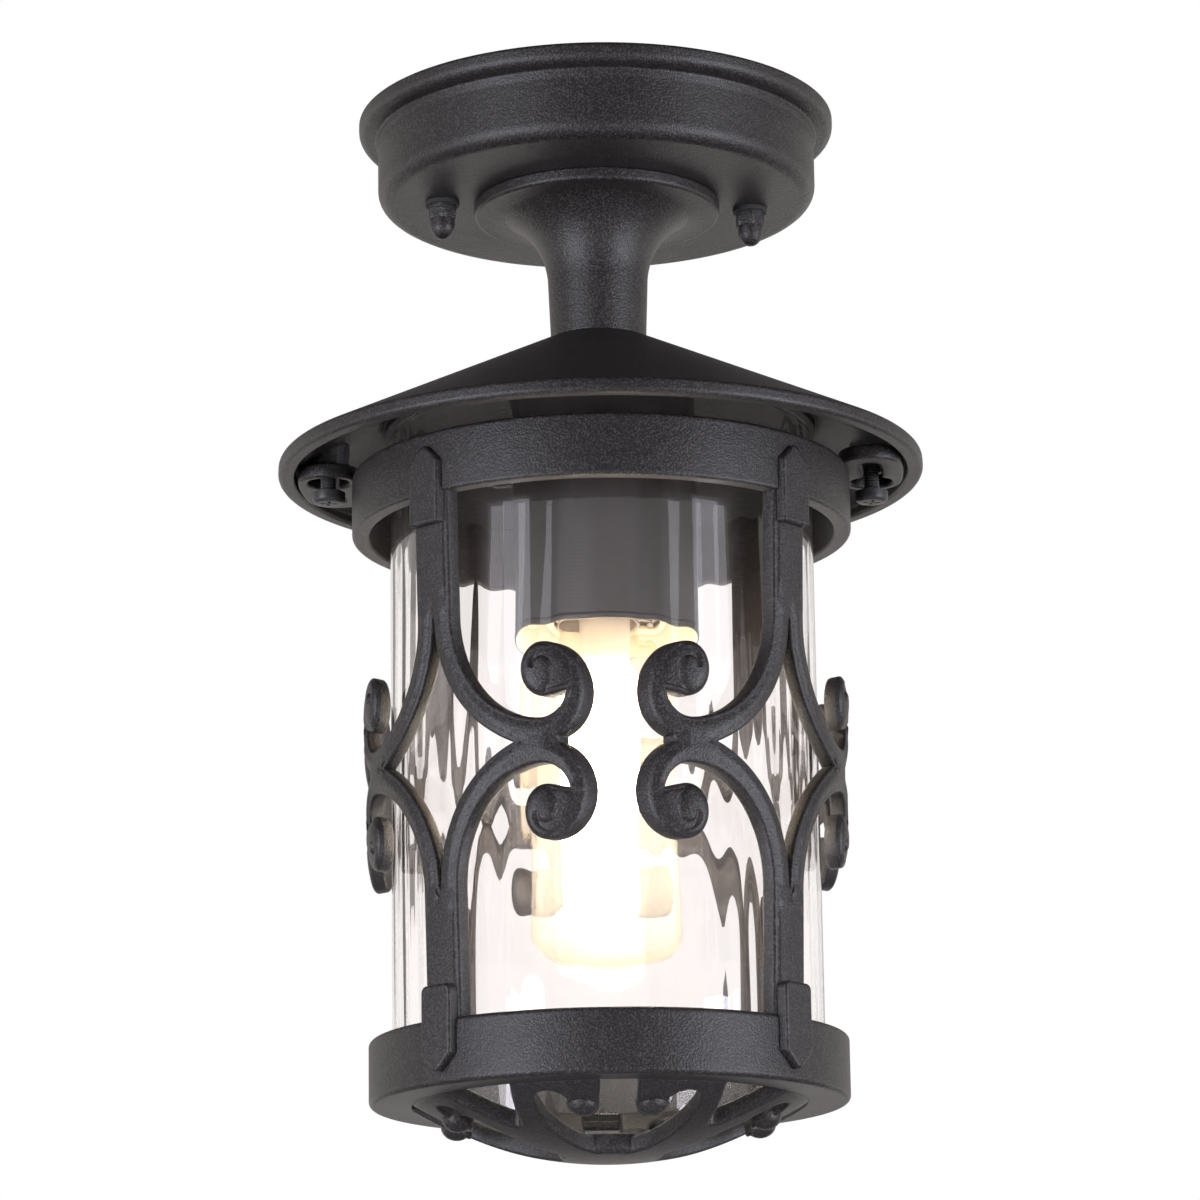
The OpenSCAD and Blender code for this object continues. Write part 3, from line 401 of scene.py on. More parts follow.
def moulded_finish(name, dark, light, rough):
    """Moulded plastic: faint flow clouding and the fine texture of the mould."""
    made, f = material(name)
    flow = f.speckle(11.0, 4.0, 0.6)
    fine = f.speckle(0.35, 2.0)
    surface(
        f,
        Base_Color=f.mix(flow, dark, light),
        Roughness=rough + 0.12 * flow,
        Normal=f.bump(fine, 0.02, 0.5),
    )
    return made


def green_yellow_finish():
    """Earth wire: yellow stripes on a green sleeve."""
    made, f = material("green and yellow sleeve")
    mask = f.math("PINGPONG", f.axes()["Z"] / MM, 1.2).above(0.6, 0.08)
    fine = f.speckle(0.5, 2.0)
    surface(
        f,
        Base_Color=f.mix(mask, (0.05, 0.30, 0.06), (0.75, 0.62, 0.06)),
        Roughness=0.42 + 0.1 * fine,
        Normal=f.bump(fine, 0.02, 0.4),
    )
    return made


def plated_finish(name, dark, light, rough):
    """Plated or plain metal with a fine grain and a little tarnish."""
    made, f = material(name)
    tarnish = f.speckle(5.0, 4.0, 0.6)
    fine = f.speckle(0.4, 2.0)
    surface(
        f,
        Base_Color=f.mix(tarnish, dark, light),
        Metallic=1.0,
        Roughness=rough + 0.16 * tarnish,
        Normal=f.bump(fine, 0.01, 0.5),
    )
    return made


def clear_glass_finish():
    """Clear glass with a thin bloom. Its ripples are in the mesh; shadows pass through it."""
    made, f = material("clear fluted glass")
    clean = {"Base Color": (1.0, 0.972, 0.965), "Roughness": 0.0, "IOR": 1.46}
    clean |= {"Transmission Weight": 1.0, "Normal": f.bump(f.speckle(16.0, 1.0), 0.05, 0.5)}
    cloud = f.streaks((260.0, 260.0, 24.0))
    dusty = {"Base Color": f.mix(cloud, (0.98, 0.80, 0.73), (1.0, 0.90, 0.85)), "Roughness": 0.6}
    glass = f.blend(
        0.002 + 0.014 * cloud,
        f.node("ShaderNodeBsdfPrincipled", clean)["BSDF"],
        f.node("ShaderNodeBsdfPrincipled", dusty)["BSDF"],
    )
    clear = f.node("ShaderNodeBsdfTransparent", {"Color": (0.93, 0.94, 0.94)})["BSDF"]
    rays = f.node("ShaderNodeLightPath")
    through = f.math("MAXIMUM", rays["Is Shadow Ray"], rays["Is Diffuse Ray"])
    f.output(f.blend(through, glass, clear))
    return made


def bulb_glass_finish():
    """Thin lamp glass: clear in the middle, with amber edges where it is seen on end."""
    made, f = material("thin lamp glass")
    edge = f.node("ShaderNodeLayerWeight", {"Blend": 0.5})["Facing"]
    haze = f.speckle(20.0, 2.0)
    clear = f.node("ShaderNodeBsdfTransparent", {"Color": (0.985, 0.97, 0.94)})["BSDF"]
    amber = f.node("ShaderNodeBsdfTransparent", {"Color": (0.94, 0.83, 0.68)})["BSDF"]
    hazy = {"Base Color": f.mix(haze, (0.90, 0.86, 0.80), (0.97, 0.95, 0.92))}
    hazy |= {"Roughness": 0.04 + 0.03 * haze}
    gloss = f.node("ShaderNodeBsdfPrincipled", hazy)["BSDF"]
    f.output(f.blend(0.07 + 0.14 * edge**2.0, f.blend(edge**3.0, clear, amber), gloss))
    return made


def lamp_glow_finish():
    """Frosted tube, lit from within; warmer towards its cap."""
    made, f = material("lit frosted tube")
    up = (f.axes()["Z"] + 0.255) / 0.085
    cloud = f.speckle(6.0, 2.0)
    colour = f.mix(up.above(0.75, 0.3), (1.0, 0.93, 0.82), (1.0, 0.80, 0.55))
    surface(
        f,
        Base_Color=f.mix(cloud, (0.92, 0.88, 0.80), (1.0, 0.97, 0.90)),
        Roughness=0.4 + 0.1 * cloud,
        Emission_Color=colour,
        Emission_Strength=15.0,
    )
    return made


powder_coat = powder_coat_finish()
cup_outside = cup_outside_finish()
cup_inside = cup_inside_finish()
blackened_steel = blackened_steel_finish()
zinc = zinc_finish()
rubber = rubber_finish()
cream = moulded_finish("cream moulding", (0.76, 0.68, 0.54), (0.86, 0.80, 0.68), 0.30)
ceramic = moulded_finish("white ceramic", (0.78, 0.76, 0.72), (0.90, 0.89, 0.86), 0.50)
ivory = moulded_finish("ivory moulding", (0.74, 0.70, 0.60), (0.86, 0.83, 0.75), 0.42)
brown_sleeve = moulded_finish("brown sleeve", (0.15, 0.06, 0.03), (0.27, 0.12, 0.06), 0.40)
blue_sleeve = moulded_finish("blue sleeve", (0.04, 0.12, 0.42), (0.07, 0.20, 0.60), 0.40)
earth_sleeve = green_yellow_finish()
brass = plated_finish("brass", (0.55, 0.38, 0.16), (0.82, 0.64, 0.34), 0.26)
nickel = plated_finish("nickel plate", (0.52, 0.48, 0.42), (0.76, 0.73, 0.68), 0.22)
brown_oxide = plated_finish("brown oxide steel", (0.09, 0.05, 0.04), (0.20, 0.12, 0.09), 0.36)
clear_glass = clear_glass_finish()
bulb_glass = bulb_glass_finish()
lit_tube = lamp_glow_finish()


# ---------------------------------------------------------------------------
# Mesh tools, in millimetres
# ---------------------------------------------------------------------------


def point(x, y):
    return Vector((x, y))


def arc(centre, radius, start, end, steps, skip=0):
    """Points on an arc, from angle start to angle end in degrees."""
    made = []
    for i in range(skip, steps + 1):
        angle = math.radians(start + (end - start) * i / steps)
        x, y = centre[0] + radius * math.cos(angle), centre[1] + radius * math.sin(angle)
        made.append(point(x, y))
    return made


def angle_from(centre, spot):
    return math.degrees(math.atan2(spot[1] - centre[1], spot[0] - centre[0]))


def softened(corners, steps=6, guard=0.35):
    """Closed outline whose corners (x, y, radius) are rounded, with guard points on the flats."""
    made = []
    count = len(corners)
    for i, (x, y, radius) in enumerate(corners):
        here = point(x, y)
        if radius == 0:
            made.append(here)
            continue
        to_last = point(*corners[i - 1][:2]) - here
        to_next = point(*corners[(i + 1) % count][:2]) - here
        half = to_last.angle(to_next) / 2
        reach = min(radius / math.tan(half), 0.48 * to_last.length, 0.48 * to_next.length)
        size = reach * math.tan(half)
        last, following = to_last.normalized(), to_next.normalized()
        centre = here + (last + following).normalized() * (size / math.sin(half))
        first = here + last * reach
        start = math.atan2(first.y - centre.y, first.x - centre.x)
        sweep = math.pi - 2 * half
        if last.cross(following) > 0:
            sweep = -sweep
        if to_last.length > 2 * (reach + guard):
            made.append(here + last * (reach + guard))
        for k in range(steps + 1):
            angle = start + sweep * k / steps
            made.append(centre + size * point(math.cos(angle), math.sin(angle)))
        if to_next.length > 2 * (reach + guard):
            made.append(here + following * (reach + guard))
    return made


def ring_at(bm, height, count, radius):
    """Ring of vertices round the Z axis; radius is a number or a function of the angle."""
    ring = []
    for k in range(count):
        angle = 2 * math.pi * k / count
        out = radius(angle) if callable(radius) else radius
        ring.append(bm.verts.new((out * math.cos(angle), out * math.sin(angle), height)))
    return ring


def join_rings(bm, rings):
    """Walls between neighbouring rings, each of the same count."""
    for first, second in zip(rings, rings[1:]):
        for k in range(len(first)):
            after = (k + 1) % len(first)
            bm.faces.new((first[k], second[k], second[after], first[after]))


def turn_profile(bm, profile, segments=128, closed=True, shape=None):
    """Turns a profile of (radius, height) points round the Z axis.

    shape, where given, makes each radius from (radius, height, angle)."""
    rings = []
    for radius, height in profile:
        if radius < 0.001:
            rings.append([bm.verts.new((0.0, 0.0, height))])
        elif shape is None:
            rings.append(ring_at(bm, height, segments, radius))
        else:
            shaped = partial(shape, radius, height)
            rings.append(ring_at(bm, height, segments, shaped))
    pairs = list(zip(rings, rings[1:]))
    if closed:
        pairs.append((rings[-1], rings[0]))
    for first, second in pairs:
        for k in range(segments):
            after = (k + 1) % segments
            corners = [first[k % len(first)], first[after % len(first)]]
            corners += [second[after % len(second)], second[k % len(second)]]
            corners = list(dict.fromkeys(corners))
            if len(corners) > 2:
                bm.faces.new(corners)


def domed_end(radius, top, drop, steps, skip=0, power=1.0):
    """Profile of a closed end that bulges down from the height top to its pole."""
    made = []
    for k in range(skip, steps + 1):
        angle = math.radians(90 * k / steps)
        out = radius * math.cos(angle) ** power if k < steps else 0.0
        made.append(point(out, top - drop * math.sin(angle)))
    return made


def inset(loop, distance):
    """Outline moved towards its left side; a sharp corner moves at most twice as far."""
    moved = []
    count = len(loop)
    for i, here in enumerate(loop):
        a = (here - loop[i - 1]).normalized()
        b = (loop[(i + 1) % count] - here).normalized()
        left_a = point(-a.y, a.x)
        middle = left_a + point(-b.y, b.x)
        if middle.length < 1e-6:
            middle = left_a
        middle.normalize()
        moved.append(here + middle * (distance / max(middle.dot(left_a), 0.5)))
    return moved


def plate(bm, loops, depth, edge, steps=4, guard=0.35, crown=0.0):
    """Plate with rounded edges: its face at height 0, its back at -depth.

    The first loop runs anticlockwise, and those of holes clockwise. With a crown, the face's
    rim lies that much lower than its middle."""
    rows = [(edge + guard, -crown)]
    for k in range(steps + 1):
        angle = math.radians(90 * k / steps)
        rows.append((edge * (1 - math.sin(angle)), -crown - edge * (1 - math.cos(angle))))
    rows += [(shift, -depth - height - crown) for shift, height in reversed(rows)]
    ends = []
    for loop in loops:
        rings = []
        for shift, height in rows:
            moved = inset(loop, shift)
            rings.append([bm.verts.new((p.x, p.y, height)) for p in moved])
        join_rings(bm, rings)
        ends.append((rings[0], rings[-1]))
    if crown:
        fill_crowned(bm, [pair[0] for pair in ends], crown)
        sides = ((1, -1),)
    else:
        sides = ((0, 1), (1, -1))
    for side, up in sides:
        edges = []
        for pair in ends:
            ring = pair[side]
            for k in range(len(ring)):
                edges.append(bm.edges.get((ring[k], ring[(k + 1) % len(ring)])))
        bmesh.ops.triangle_fill(
            bm, edges=edges, use_beauty=True, use_dissolve=False, normal=(0, 0, up)
        )


def fill_crowned(bm, rings, crown, spacing=1.1, rise=2.1):
    """Fills a plate's face with a grid that swells from its rim over the distance rise."""
    rim = [vert for ring in rings for vert in ring]
    near = kdtree.KDTree(len(rim))
    for i, vert in enumerate(rim):
        near.insert((vert.co.x, vert.co.y, 0.0), i)
    near.balance()
    spots = [vert.co.xy for vert in rim]
    faces, first = [], 0
    for ring in rings:
        numbers = list(range(first, first + len(ring)))
        faces.append(numbers if first == 0 else numbers[::-1])
        first += len(ring)
    low_x, high_x = min(p.x for p in spots), max(p.x for p in spots)
    low_y, high_y = min(p.y for p in spots), max(p.y for p in spots)
    for i in range(int((high_x - low_x) / spacing) + 1):
        for j in range(int((high_y - low_y) / spacing) + 1):
            x = low_x + (i + 0.5 * (j % 2)) * spacing
            y = low_y + j * spacing
            if near.find((x, y, 0.0))[2] > 0.6 * spacing:
                spots.append(point(x, y))
    coords, _, filled, sources, _, owners = geometry.delaunay_2d_cdt(spots, [], faces, 1, 1e-5)
    made = {}
    for corners, owner in zip(filled, owners):
        if list(owner) != [0]:
            continue
        for i in corners:
            if i in made:
                continue
            known = [k for k in sources[i] if k < len(rim)]
            if known:
                made[i] = rim[known[0]]
                continue
            spot = coords[i]
            share = min(near.find((spot.x, spot.y, 0.0))[2] / rise, 1.0)
            made[i] = bm.verts.new((spot.x, spot.y, -crown * (1 - math.sin(math.pi / 2 * share))))
        bm.faces.new([made[i] for i in corners])


def slice_across(bm, direction, spots):
    """Cuts the faces by parallel planes, so that they can bend."""
    for spot in spots:
        cut = bm.verts[:] + bm.edges[:] + bm.faces[:]
        bmesh.ops.bisect_plane(
            bm,
            geom=cut,
            dist=1e-4,
            plane_co=Vector(direction) * spot,
            plane_no=direction,
        )


def crease(bm, limit):
    """Smooth shading, but for edges sharper than limit degrees."""
    for face in bm.faces:
        face.smooth = True
    for edge in bm.edges:
        if len(edge.link_faces) == 2 and edge.calc_face_angle(0.0) > math.radians(limit):
            edge.smooth = False


def shift_new(bm, before, matrix):
    """Moves what was added since there were as many vertices as before says."""
    bm.verts.ensure_lookup_table()
    bmesh.ops.transform(bm, matrix=matrix, verts=bm.verts[before:])


def finish_piece(name, bm, body, finishes, replaces, limit=40.0, merge=True):
    """Merged, outward-facing mesh in metres, as an object that rides on its body."""
    if merge:
        bmesh.ops.remove_doubles(bm, verts=bm.verts, dist=1e-4)
    bmesh.ops.recalc_face_normals(bm, faces=bm.faces)
    crease(bm, limit)
    bmesh.ops.transform(bm, matrix=Matrix.Scale(MM, 4), verts=bm.verts)
    mesh = bpy.data.meshes.new(name)
    bm.to_mesh(mesh)
    bm.free()
    for each in finishes:
        mesh.materials.append(each)
    made = bpy.data.objects.new(name, mesh)
    bpy.context.scene.collection.objects.link(made)
    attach(made, body)
    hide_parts(*replaces)


def finish_casting(name, bm, body, replaces, limit=40.0):
    """Powder-coated casting."""
    finish_piece(name, bm, body, [powder_coat], replaces, limit)


# ---------------------------------------------------------------------------
# Geometry Nodes, in millimetres: copies, grip ribs and threads
# ---------------------------------------------------------------------------


def new_tree(name, *sizes):
    """Tree whose inputs are a form, the named sizes and a coating."""
    tree = bpy.data.node_groups.new(name, "GeometryNodeTree")
    kinds = {"Form": "Geometry", **dict.fromkeys(sizes, "Float"), "Coating": "Material"}
    for title, kind in kinds.items():
        tree.interface.new_socket(title, in_out="INPUT", socket_type="NodeSocket" + kind)
    tree.interface.new_socket("Piece", in_out="OUTPUT", socket_type="NodeSocketGeometry")
    g = Finish(tree)
    return tree, g, g.node("NodeGroupInput")


def end_tree(g, given, shape):
    solid = g.node("GeometryNodeRealizeInstances", {"Geometry": shape})["Geometry"]
    coated = {"Geometry": solid, "Material": given["Coating"]}
    g.node("NodeGroupOutput", {"Piece": g.node("GeometryNodeSetMaterial", coated)["Geometry"]})


def polar(g):
    """X, Y, Z, angle and radius of each point of the form."""
    spot = g.node("GeometryNodeInputPosition")["Position"]
    parts = g.node("ShaderNodeSeparateXYZ", {"Vector": spot})
    x, y = parts["X"], parts["Y"]
    return x, y, parts["Z"], g.math("ARCTAN2", y, x), (x * x + y * y) ** 0.5


def end_drawn_in(g, given, x, y, z, share):
    """Draws each point of the form in, to a share of its radius, and ends the tree."""
    spot = g.node("ShaderNodeCombineXYZ", {"X": x * share, "Y": y * share, "Z": z})["Vector"]
    moved = {"Geometry": given["Form"], "Position": spot}
    end_tree(g, given, g.node("GeometryNodeSetPosition", moved)["Geometry"])


def make_copies_tree():
    """Copies of a form at equal turns round the Z axis."""
    tree, g, given = new_tree("copies round the axis", "Count", "Distance", "First Turn")
    number = g.node("GeometryNodeInputIndex")["Index"]
    turn = given["First Turn"] + number * (2 * math.pi) / given["Count"]
    along, across = g.math("COSINE", turn), g.math("SINE", turn)
    spot = {"X": along * given["Distance"], "Y": across * given["Distance"]}
    spots = {"Count": given["Count"], "Position": g.node("ShaderNodeCombineXYZ", spot)["Vector"]}
    copies = {"Points": g.node("GeometryNodePoints", spots)[0], "Instance": given["Form"]}
    copies["Rotation"] = g.node("ShaderNodeCombineXYZ", {"Z": turn})["Vector"]
    end_tree(g, given, g.node("GeometryNodeInstanceOnPoints", copies)["Instances"])
    return tree


def make_ribs_tree():
    """Ribs along the side of a turned form, between two heights."""
    tree, g, given = new_tree("grip ribs", "Count", "Depth", "Side", "Foot", "Top")
    x, y, z, angle, radius = polar(g)
    cut = given["Depth"] * (1.0 + g.math("COSINE", given["Count"] * angle))
    on_side = g.math("GREATER_THAN", radius, given["Side"] - 0.05)
    between = g.math("GREATER_THAN", z, given["Foot"]) * g.math("LESS_THAN", z, given["Top"])
    end_drawn_in(g, given, x, y, z, 1.0 - on_side * between * cut / radius)
    return tree


def make_thread_tree():
    """Thread in a plain tube, which runs out towards the tube's foot and top."""
    sizes = ("Crest", "Pitch", "Depth", "Blunt", "Foot", "Top", "Runout")
    tree, g, given = new_tree("thread", *sizes)
    x, y, z, angle, _ = polar(g)
    wave = 0.5 + 0.5 * g.math("COSINE", z * (2 * math.pi) / given["Pitch"] - angle)
    to_end = g.math("MINIMUM", z - given["Foot"], given["Top"] - z) / given["Runout"]
    fade = g.math("MAXIMUM", g.math("MINIMUM", to_end, 1.0), 0.0)
    cut = given["Depth"] / given["Crest"] * fade * (1.0 - wave ** given["Blunt"])
    end_drawn_in(g, given, x, y, z, 1.0 - cut)
    return tree


def run_tree(bm, tree, coating, sizes, into=None):
    """Sends a form through a tree; returns what comes out, or adds it to the bmesh into."""
    mesh = bpy.data.meshes.new("form")
    bm.to_mesh(mesh)
    bm.free()
    form = bpy.data.objects.new("form", mesh)
    bpy.context.scene.collection.objects.link(form)
    modifier = form.modifiers.new("shape", "NODES")
    modifier.node_group = tree
    given = {name: float(size) for name, size in sizes.items()} | {"Coating": coating}
    for socket in tree.interface.items_tree:
        if socket.name in given:
            modifier[socket.identifier] = given[socket.name]
    graph = bpy.context.evaluated_depsgraph_get()
    shaped = bpy.data.meshes.new_from_object(form.evaluated_get(graph))
    form.modifiers.remove(modifier)
    bpy.data.objects.remove(form)
    bpy.data.meshes.remove(mesh)
    made = bmesh.new() if into is None else into
    made.from_mesh(shaped)
    bpy.data.meshes.remove(shaped)
    return made


copies_tree = make_copies_tree()
ribs_tree = make_ribs_tree()
thread_tree = make_thread_tree()


# ---------------------------------------------------------------------------
# Canopy, stem and roof
# ---------------------------------------------------------------------------


def make_canopy():
    under_lip = LIP_TOP - LIP_H
    inside, floor = CANOPY_R - CANOPY_WALL, -CANOPY_H + CANOPY_WALL
    corners = [
        (inside, LIP_TOP, 0.4),
        (LIP_R, LIP_TOP, 1.2),
        (LIP_R, under_lip, 2.8),
        (CANOPY_R + 0.5, under_lip - 0.4, 0.8),
        (CANOPY_R, under_lip - 3.2, 4.0),
        (CANOPY_R, -CANOPY_H, CANOPY_FILLET),
        (TUBE_HOLE_R, -CANOPY_H, 0.3),
        (TUBE_HOLE_R, floor, 0.3),
        (inside, floor, 1.5),
    ]
    bm = bmesh.new()
    turn_profile(bm, softened(corners, 8), 192)
    finish_casting("canopy_casting", bm, "fixture", ["canopy"])


def make_stem():
    flange = -CANOPY_H - FLANGE_T
    flare_foot = -CANOPY_H - FLARE_H
    centre = point(STEM_R + FLARE_R, flare_foot)
    start = 180 - math.degrees(math.asin((flange - flare_foot) / FLARE_R))
    flare = arc(centre, FLARE_R, start, 180, 24)
    above = [
        (TUBE_HOLE_R, -CANOPY_H, 0.3),
        (FLANGE_R, -CANOPY_H, 0.5),
        (FLANGE_R, flange, 1.1),
        (flare[0].x, flare[0].y, 0),
    ]
    below = [
        (STEM_R, flare_foot, 0),
        (STEM_FOOT_R, ROOF_TOP, 0.5),
        (TUBE_HOLE_R, ROOF_TOP, 0.3),
        (TUBE_HOLE_R, -CANOPY_H, 0),
    ]
    bm = bmesh.new()
    turn_profile(bm, softened(above, 6)[:-1] + flare + softened(below, 4)[1:-1])
    finish_casting("stem_casting", bm, "fixture", ["stem"])


def roof_outside(radius):
    return ROOF_TOP - (radius - ROOF_TOP_R) * ROOF_FALL / (ROOF_R - ROOF_TOP_R)


def roof_inside(radius):
    slope = ROOF_FALL / (ROOF_R - ROOF_TOP_R)
    return roof_outside(radius) - ROOF_WALL * math.sqrt(1 + slope * slope)


def roof_boss():
    """Boss for the right retaining screw, whose top follows the cone's underside."""
    top = roof_inside(KEEPER_AT) + 1.5
    corners = [
        (KEEPER_HOLE_R, KEEPER_BOSS, 0.3),
        (KEEPER_BOSS_R, KEEPER_BOSS, 0.8),
        (KEEPER_BOSS_R + 0.4, top, 0),
        (KEEPER_HOLE_R, top, 0),
    ]
    bm = bmesh.new()
    turn_profile(bm, softened(corners, 4), 48)
    bmesh.ops.translate(bm, verts=bm.verts, vec=(KEEPER_AT, 0, 0))
    for vert in bm.verts:
        if vert.co.z > top - 0.5:
            vert.co.z = roof_inside(math.hypot(vert.co.x, vert.co.y)) + 1.2
    return bm


def make_roof():
    """Cone with its rim, glass seat and hub, and a boss for each retaining screw."""
    rim = ROOF_TOP - ROOF_FALL - RIM_H
    band_in = ROOF_R - RIM_W
    seat_in, seat_out = GLASS_R - GLASS_WALL - SEAT_EDGE, GLASS_R + SEAT_EDGE
    seat = roof_inside(seat_out) - 1
    corners = [
        (TUBE_HOLE_R, ROOF_TOP, 0.3),
        (ROOF_TOP_R, ROOF_TOP, 0.5),
        (ROOF_R - 0.2, roof_outside(ROOF_R - 0.2), 1.6),
        (ROOF_R, rim, 1.5),
        (band_in, rim, 1.0),
        (band_in, roof_inside(band_in), 1.2),
        (seat_out, roof_inside(seat_out), 0.3),
        (seat_out, seat, 0.3),
        (seat_in, seat, 0.3),
        (seat_in, roof_inside(seat_in), 0.8),
        (HUB_R, roof_inside(HUB_R), 1.0),
        (HUB_R, HUB, 0.4),
        (TUBE_HOLE_R, HUB, 0.3),
    ]
    bm = bmesh.new()
    turn_profile(bm, softened(corners, 6), 256)
    run_tree(roof_boss(), copies_tree, powder_coat, {"Count": 2}, into=bm)
    finish_casting("roof_casting", bm, "fixture", ["roof", "roof_bosses"])


# ---------------------------------------------------------------------------
# Cage rings
# ---------------------------------------------------------------------------


def at_angle(radius, degrees):
    angle = math.radians(degrees)
    return point(radius * math.cos(angle), radius * math.sin(angle))


def lug_loops():
    """Outside of a lug, and its keyhole with the slot, both in plan."""
    tip = at_angle(KEEPER_AT, 0)
    end = at_angle(KEEPER_AT, -LOCK_TURN)
    outside = arc((0, 0), KEEPER_AT + LUG_REACH, -LOCK_TURN, 0, 14)
    outside += arc(tip, LUG_REACH, 0, 180, 30, 1)
    outside += arc((0, 0), KEEPER_AT - LUG_REACH, 0, -LOCK_TURN, 10, 1)
    outside += arc(end, LUG_REACH, 180 - LOCK_TURN, 360 - LOCK_TURN, 30, 1)[:-1]
    half = KEYSLOT_W / 2
    meet = math.degrees(math.sqrt(KEYHOLE_R**2 - half**2) / KEEPER_AT)
    outer = at_angle(KEEPER_AT + half, -meet)
    inner = at_angle(KEEPER_AT - half, -meet)
    hole = arc(tip, KEYHOLE_R, angle_from(tip, outer), angle_from(tip, inner) + 360, 44)
    hole += arc((0, 0), KEEPER_AT - half, -meet, -LOCK_TURN, 8, 1)
    hole += arc(end, half, 180 - LOCK_TURN, 360 - LOCK_TURN, 14, 1)
    hole += arc((0, 0), KEEPER_AT + half, -LOCK_TURN, -meet, 8, 1)[:-1]
    return outside, list(reversed(hole))


def make_top_ring():
    inside = TOP_RING_R - TOP_RING_WALL
    corners = [
        (inside, TOP_RING_TOP, 0.5),
        (TOP_RING_R, TOP_RING_TOP, 1.2),
        (TOP_RING_R, TOP_RING, 1.0),
        (inside, TOP_RING, 0.8),
    ]
    bm = bmesh.new()
    turn_profile(bm, softened(corners), 224)
    lug = bmesh.new()
    plate(lug, lug_loops(), LUG_T, 0.9)
    bmesh.ops.translate(lug, verts=lug.verts, vec=(0, 0, LUG_TOP))
    run_tree(lug, copies_tree, powder_coat, {"Count": 2}, into=bm)
    finish_casting("upper_ring_casting", bm, "cage", ["cage_top_ring"])


def make_low_ring():
    inside = LOW_RING_R - LOW_RING_WALL
    corners = [
        (inside, LOW_RING_TOP, 0.8),
        (LOW_RING_R, LOW_RING_TOP, 1.4),
        (LOW_RING_R, FOOT, 1.6),
        (LEDGE_R, FOOT, 0.6),
        (LEDGE_R, LEDGE, 0.5),
        (inside, LEDGE, 0.5),
    ]
    bm = bmesh.new()
    turn_profile(bm, softened(corners), 224)
    finish_casting("lower_ring_casting", bm, "cage", ["cage_bottom_ring"])


# ---------------------------------------------------------------------------
# Scroll bars
# ---------------------------------------------------------------------------

HALF_BAY = BAND_R * math.pi / BAY_COUNT
SWEEP_C = point(HALF_BAY - SWEEP_R, FORK_H)
SWEEP_IN = SWEEP_R - STRIP_W
HEAD_C = point(SCROLL_AT, SCROLL_R)
KNOB_C = point(SCROLL_AT, 2 * SCROLL_R - KNOB_R)
EYE_C = point(EYE_AT, EYE_FLOOR + EYE_R)
CUSP = arc(EYE_C, EYE_R, -WEB_ANGLE, -WEB_ANGLE, 1)[0]
FLOOR_UP = FORK_H - EYE_FLOOR
FLOOR_R = ((EYE_AT - SWEEP_C.x) ** 2 + FLOOR_UP**2 - SWEEP_IN**2) / (2 * (FLOOR_UP - SWEEP_IN))
FLOOR_C = point(EYE_AT, EYE_FLOOR + FLOOR_R)


def from_bar(spots):
    """From distances to the bay's centre line to distances from the bar's middle.

    A scroll head is drawn round and then narrowed along the band."""
    far_side = SCROLL_AT + KNOB_R
    made = []
    for spot in spots:
        squeezed = far_side - (far_side - spot.x) * HEAD_SQUEEZE
        made.append(point(HALF_BAY - (squeezed if spot.x < far_side else spot.x), spot.y))
    return made


def scroll_edges():
    """Inner and outer edge of a quarter bar, as distances from its middle and its contact line."""
    floor_join = angle_from(SWEEP_C, FLOOR_C)
    web_tangent = math.degrees(math.acos(KNOB_R / (CUSP - KNOB_C).length))
    web_touch = angle_from(KNOB_C, CUSP) + web_tangent
    contact = -math.degrees(math.acos((CONTACT_END - SCROLL_AT) / SCROLL_R))
    outside = arc(SWEEP_C, SWEEP_R, 0, -math.degrees(math.asin(FORK_H / SWEEP_R)), 40)
    head = [point(CONTACT_END, 0)] + arc(HEAD_C, SCROLL_R, contact, -270, 54)
    head += arc(KNOB_C, KNOB_R, 90, web_touch, 36, 1)
    head += arc(EYE_C, EYE_R, -WEB_ANGLE, -90, 18)
    head += arc(FLOOR_C, FLOOR_R, -90, floor_join, 18, 1)
    head += arc(SWEEP_C, SWEEP_IN, floor_join, 0, 26, 1)
    return from_bar(outside), from_bar(head)


def scroll_bar_loops():
    """Whole outline of a bar with its pointed opening, laid flat."""
    opening, head = scroll_edges()
    top = TOP_RING - MEET + 1.5
    foot = LOW_RING_TOP - MEET - 1.5
    stem_up = [point(STRIP_W, h) for h in (top, top * 0.8 + FORK_H * 0.2, FORK_H + 6)]
    right = stem_up + list(reversed(head))
    stem_down = [point(STRIP_W, h) for h in (-FORK_H - 6, foot * 0.8 - FORK_H * 0.2, foot)]
    right += [point(p.x, -p.y) for p in head[1:]] + stem_down
    outline = list(reversed(right)) + [point(-p.x, p.y) for p in right]
    upper = opening + [point(p.x, -p.y) for p in reversed(opening[:-1])]
    hole = upper + [point(-p.x, p.y) for p in reversed(upper[1:-1])]
    return outline, hole


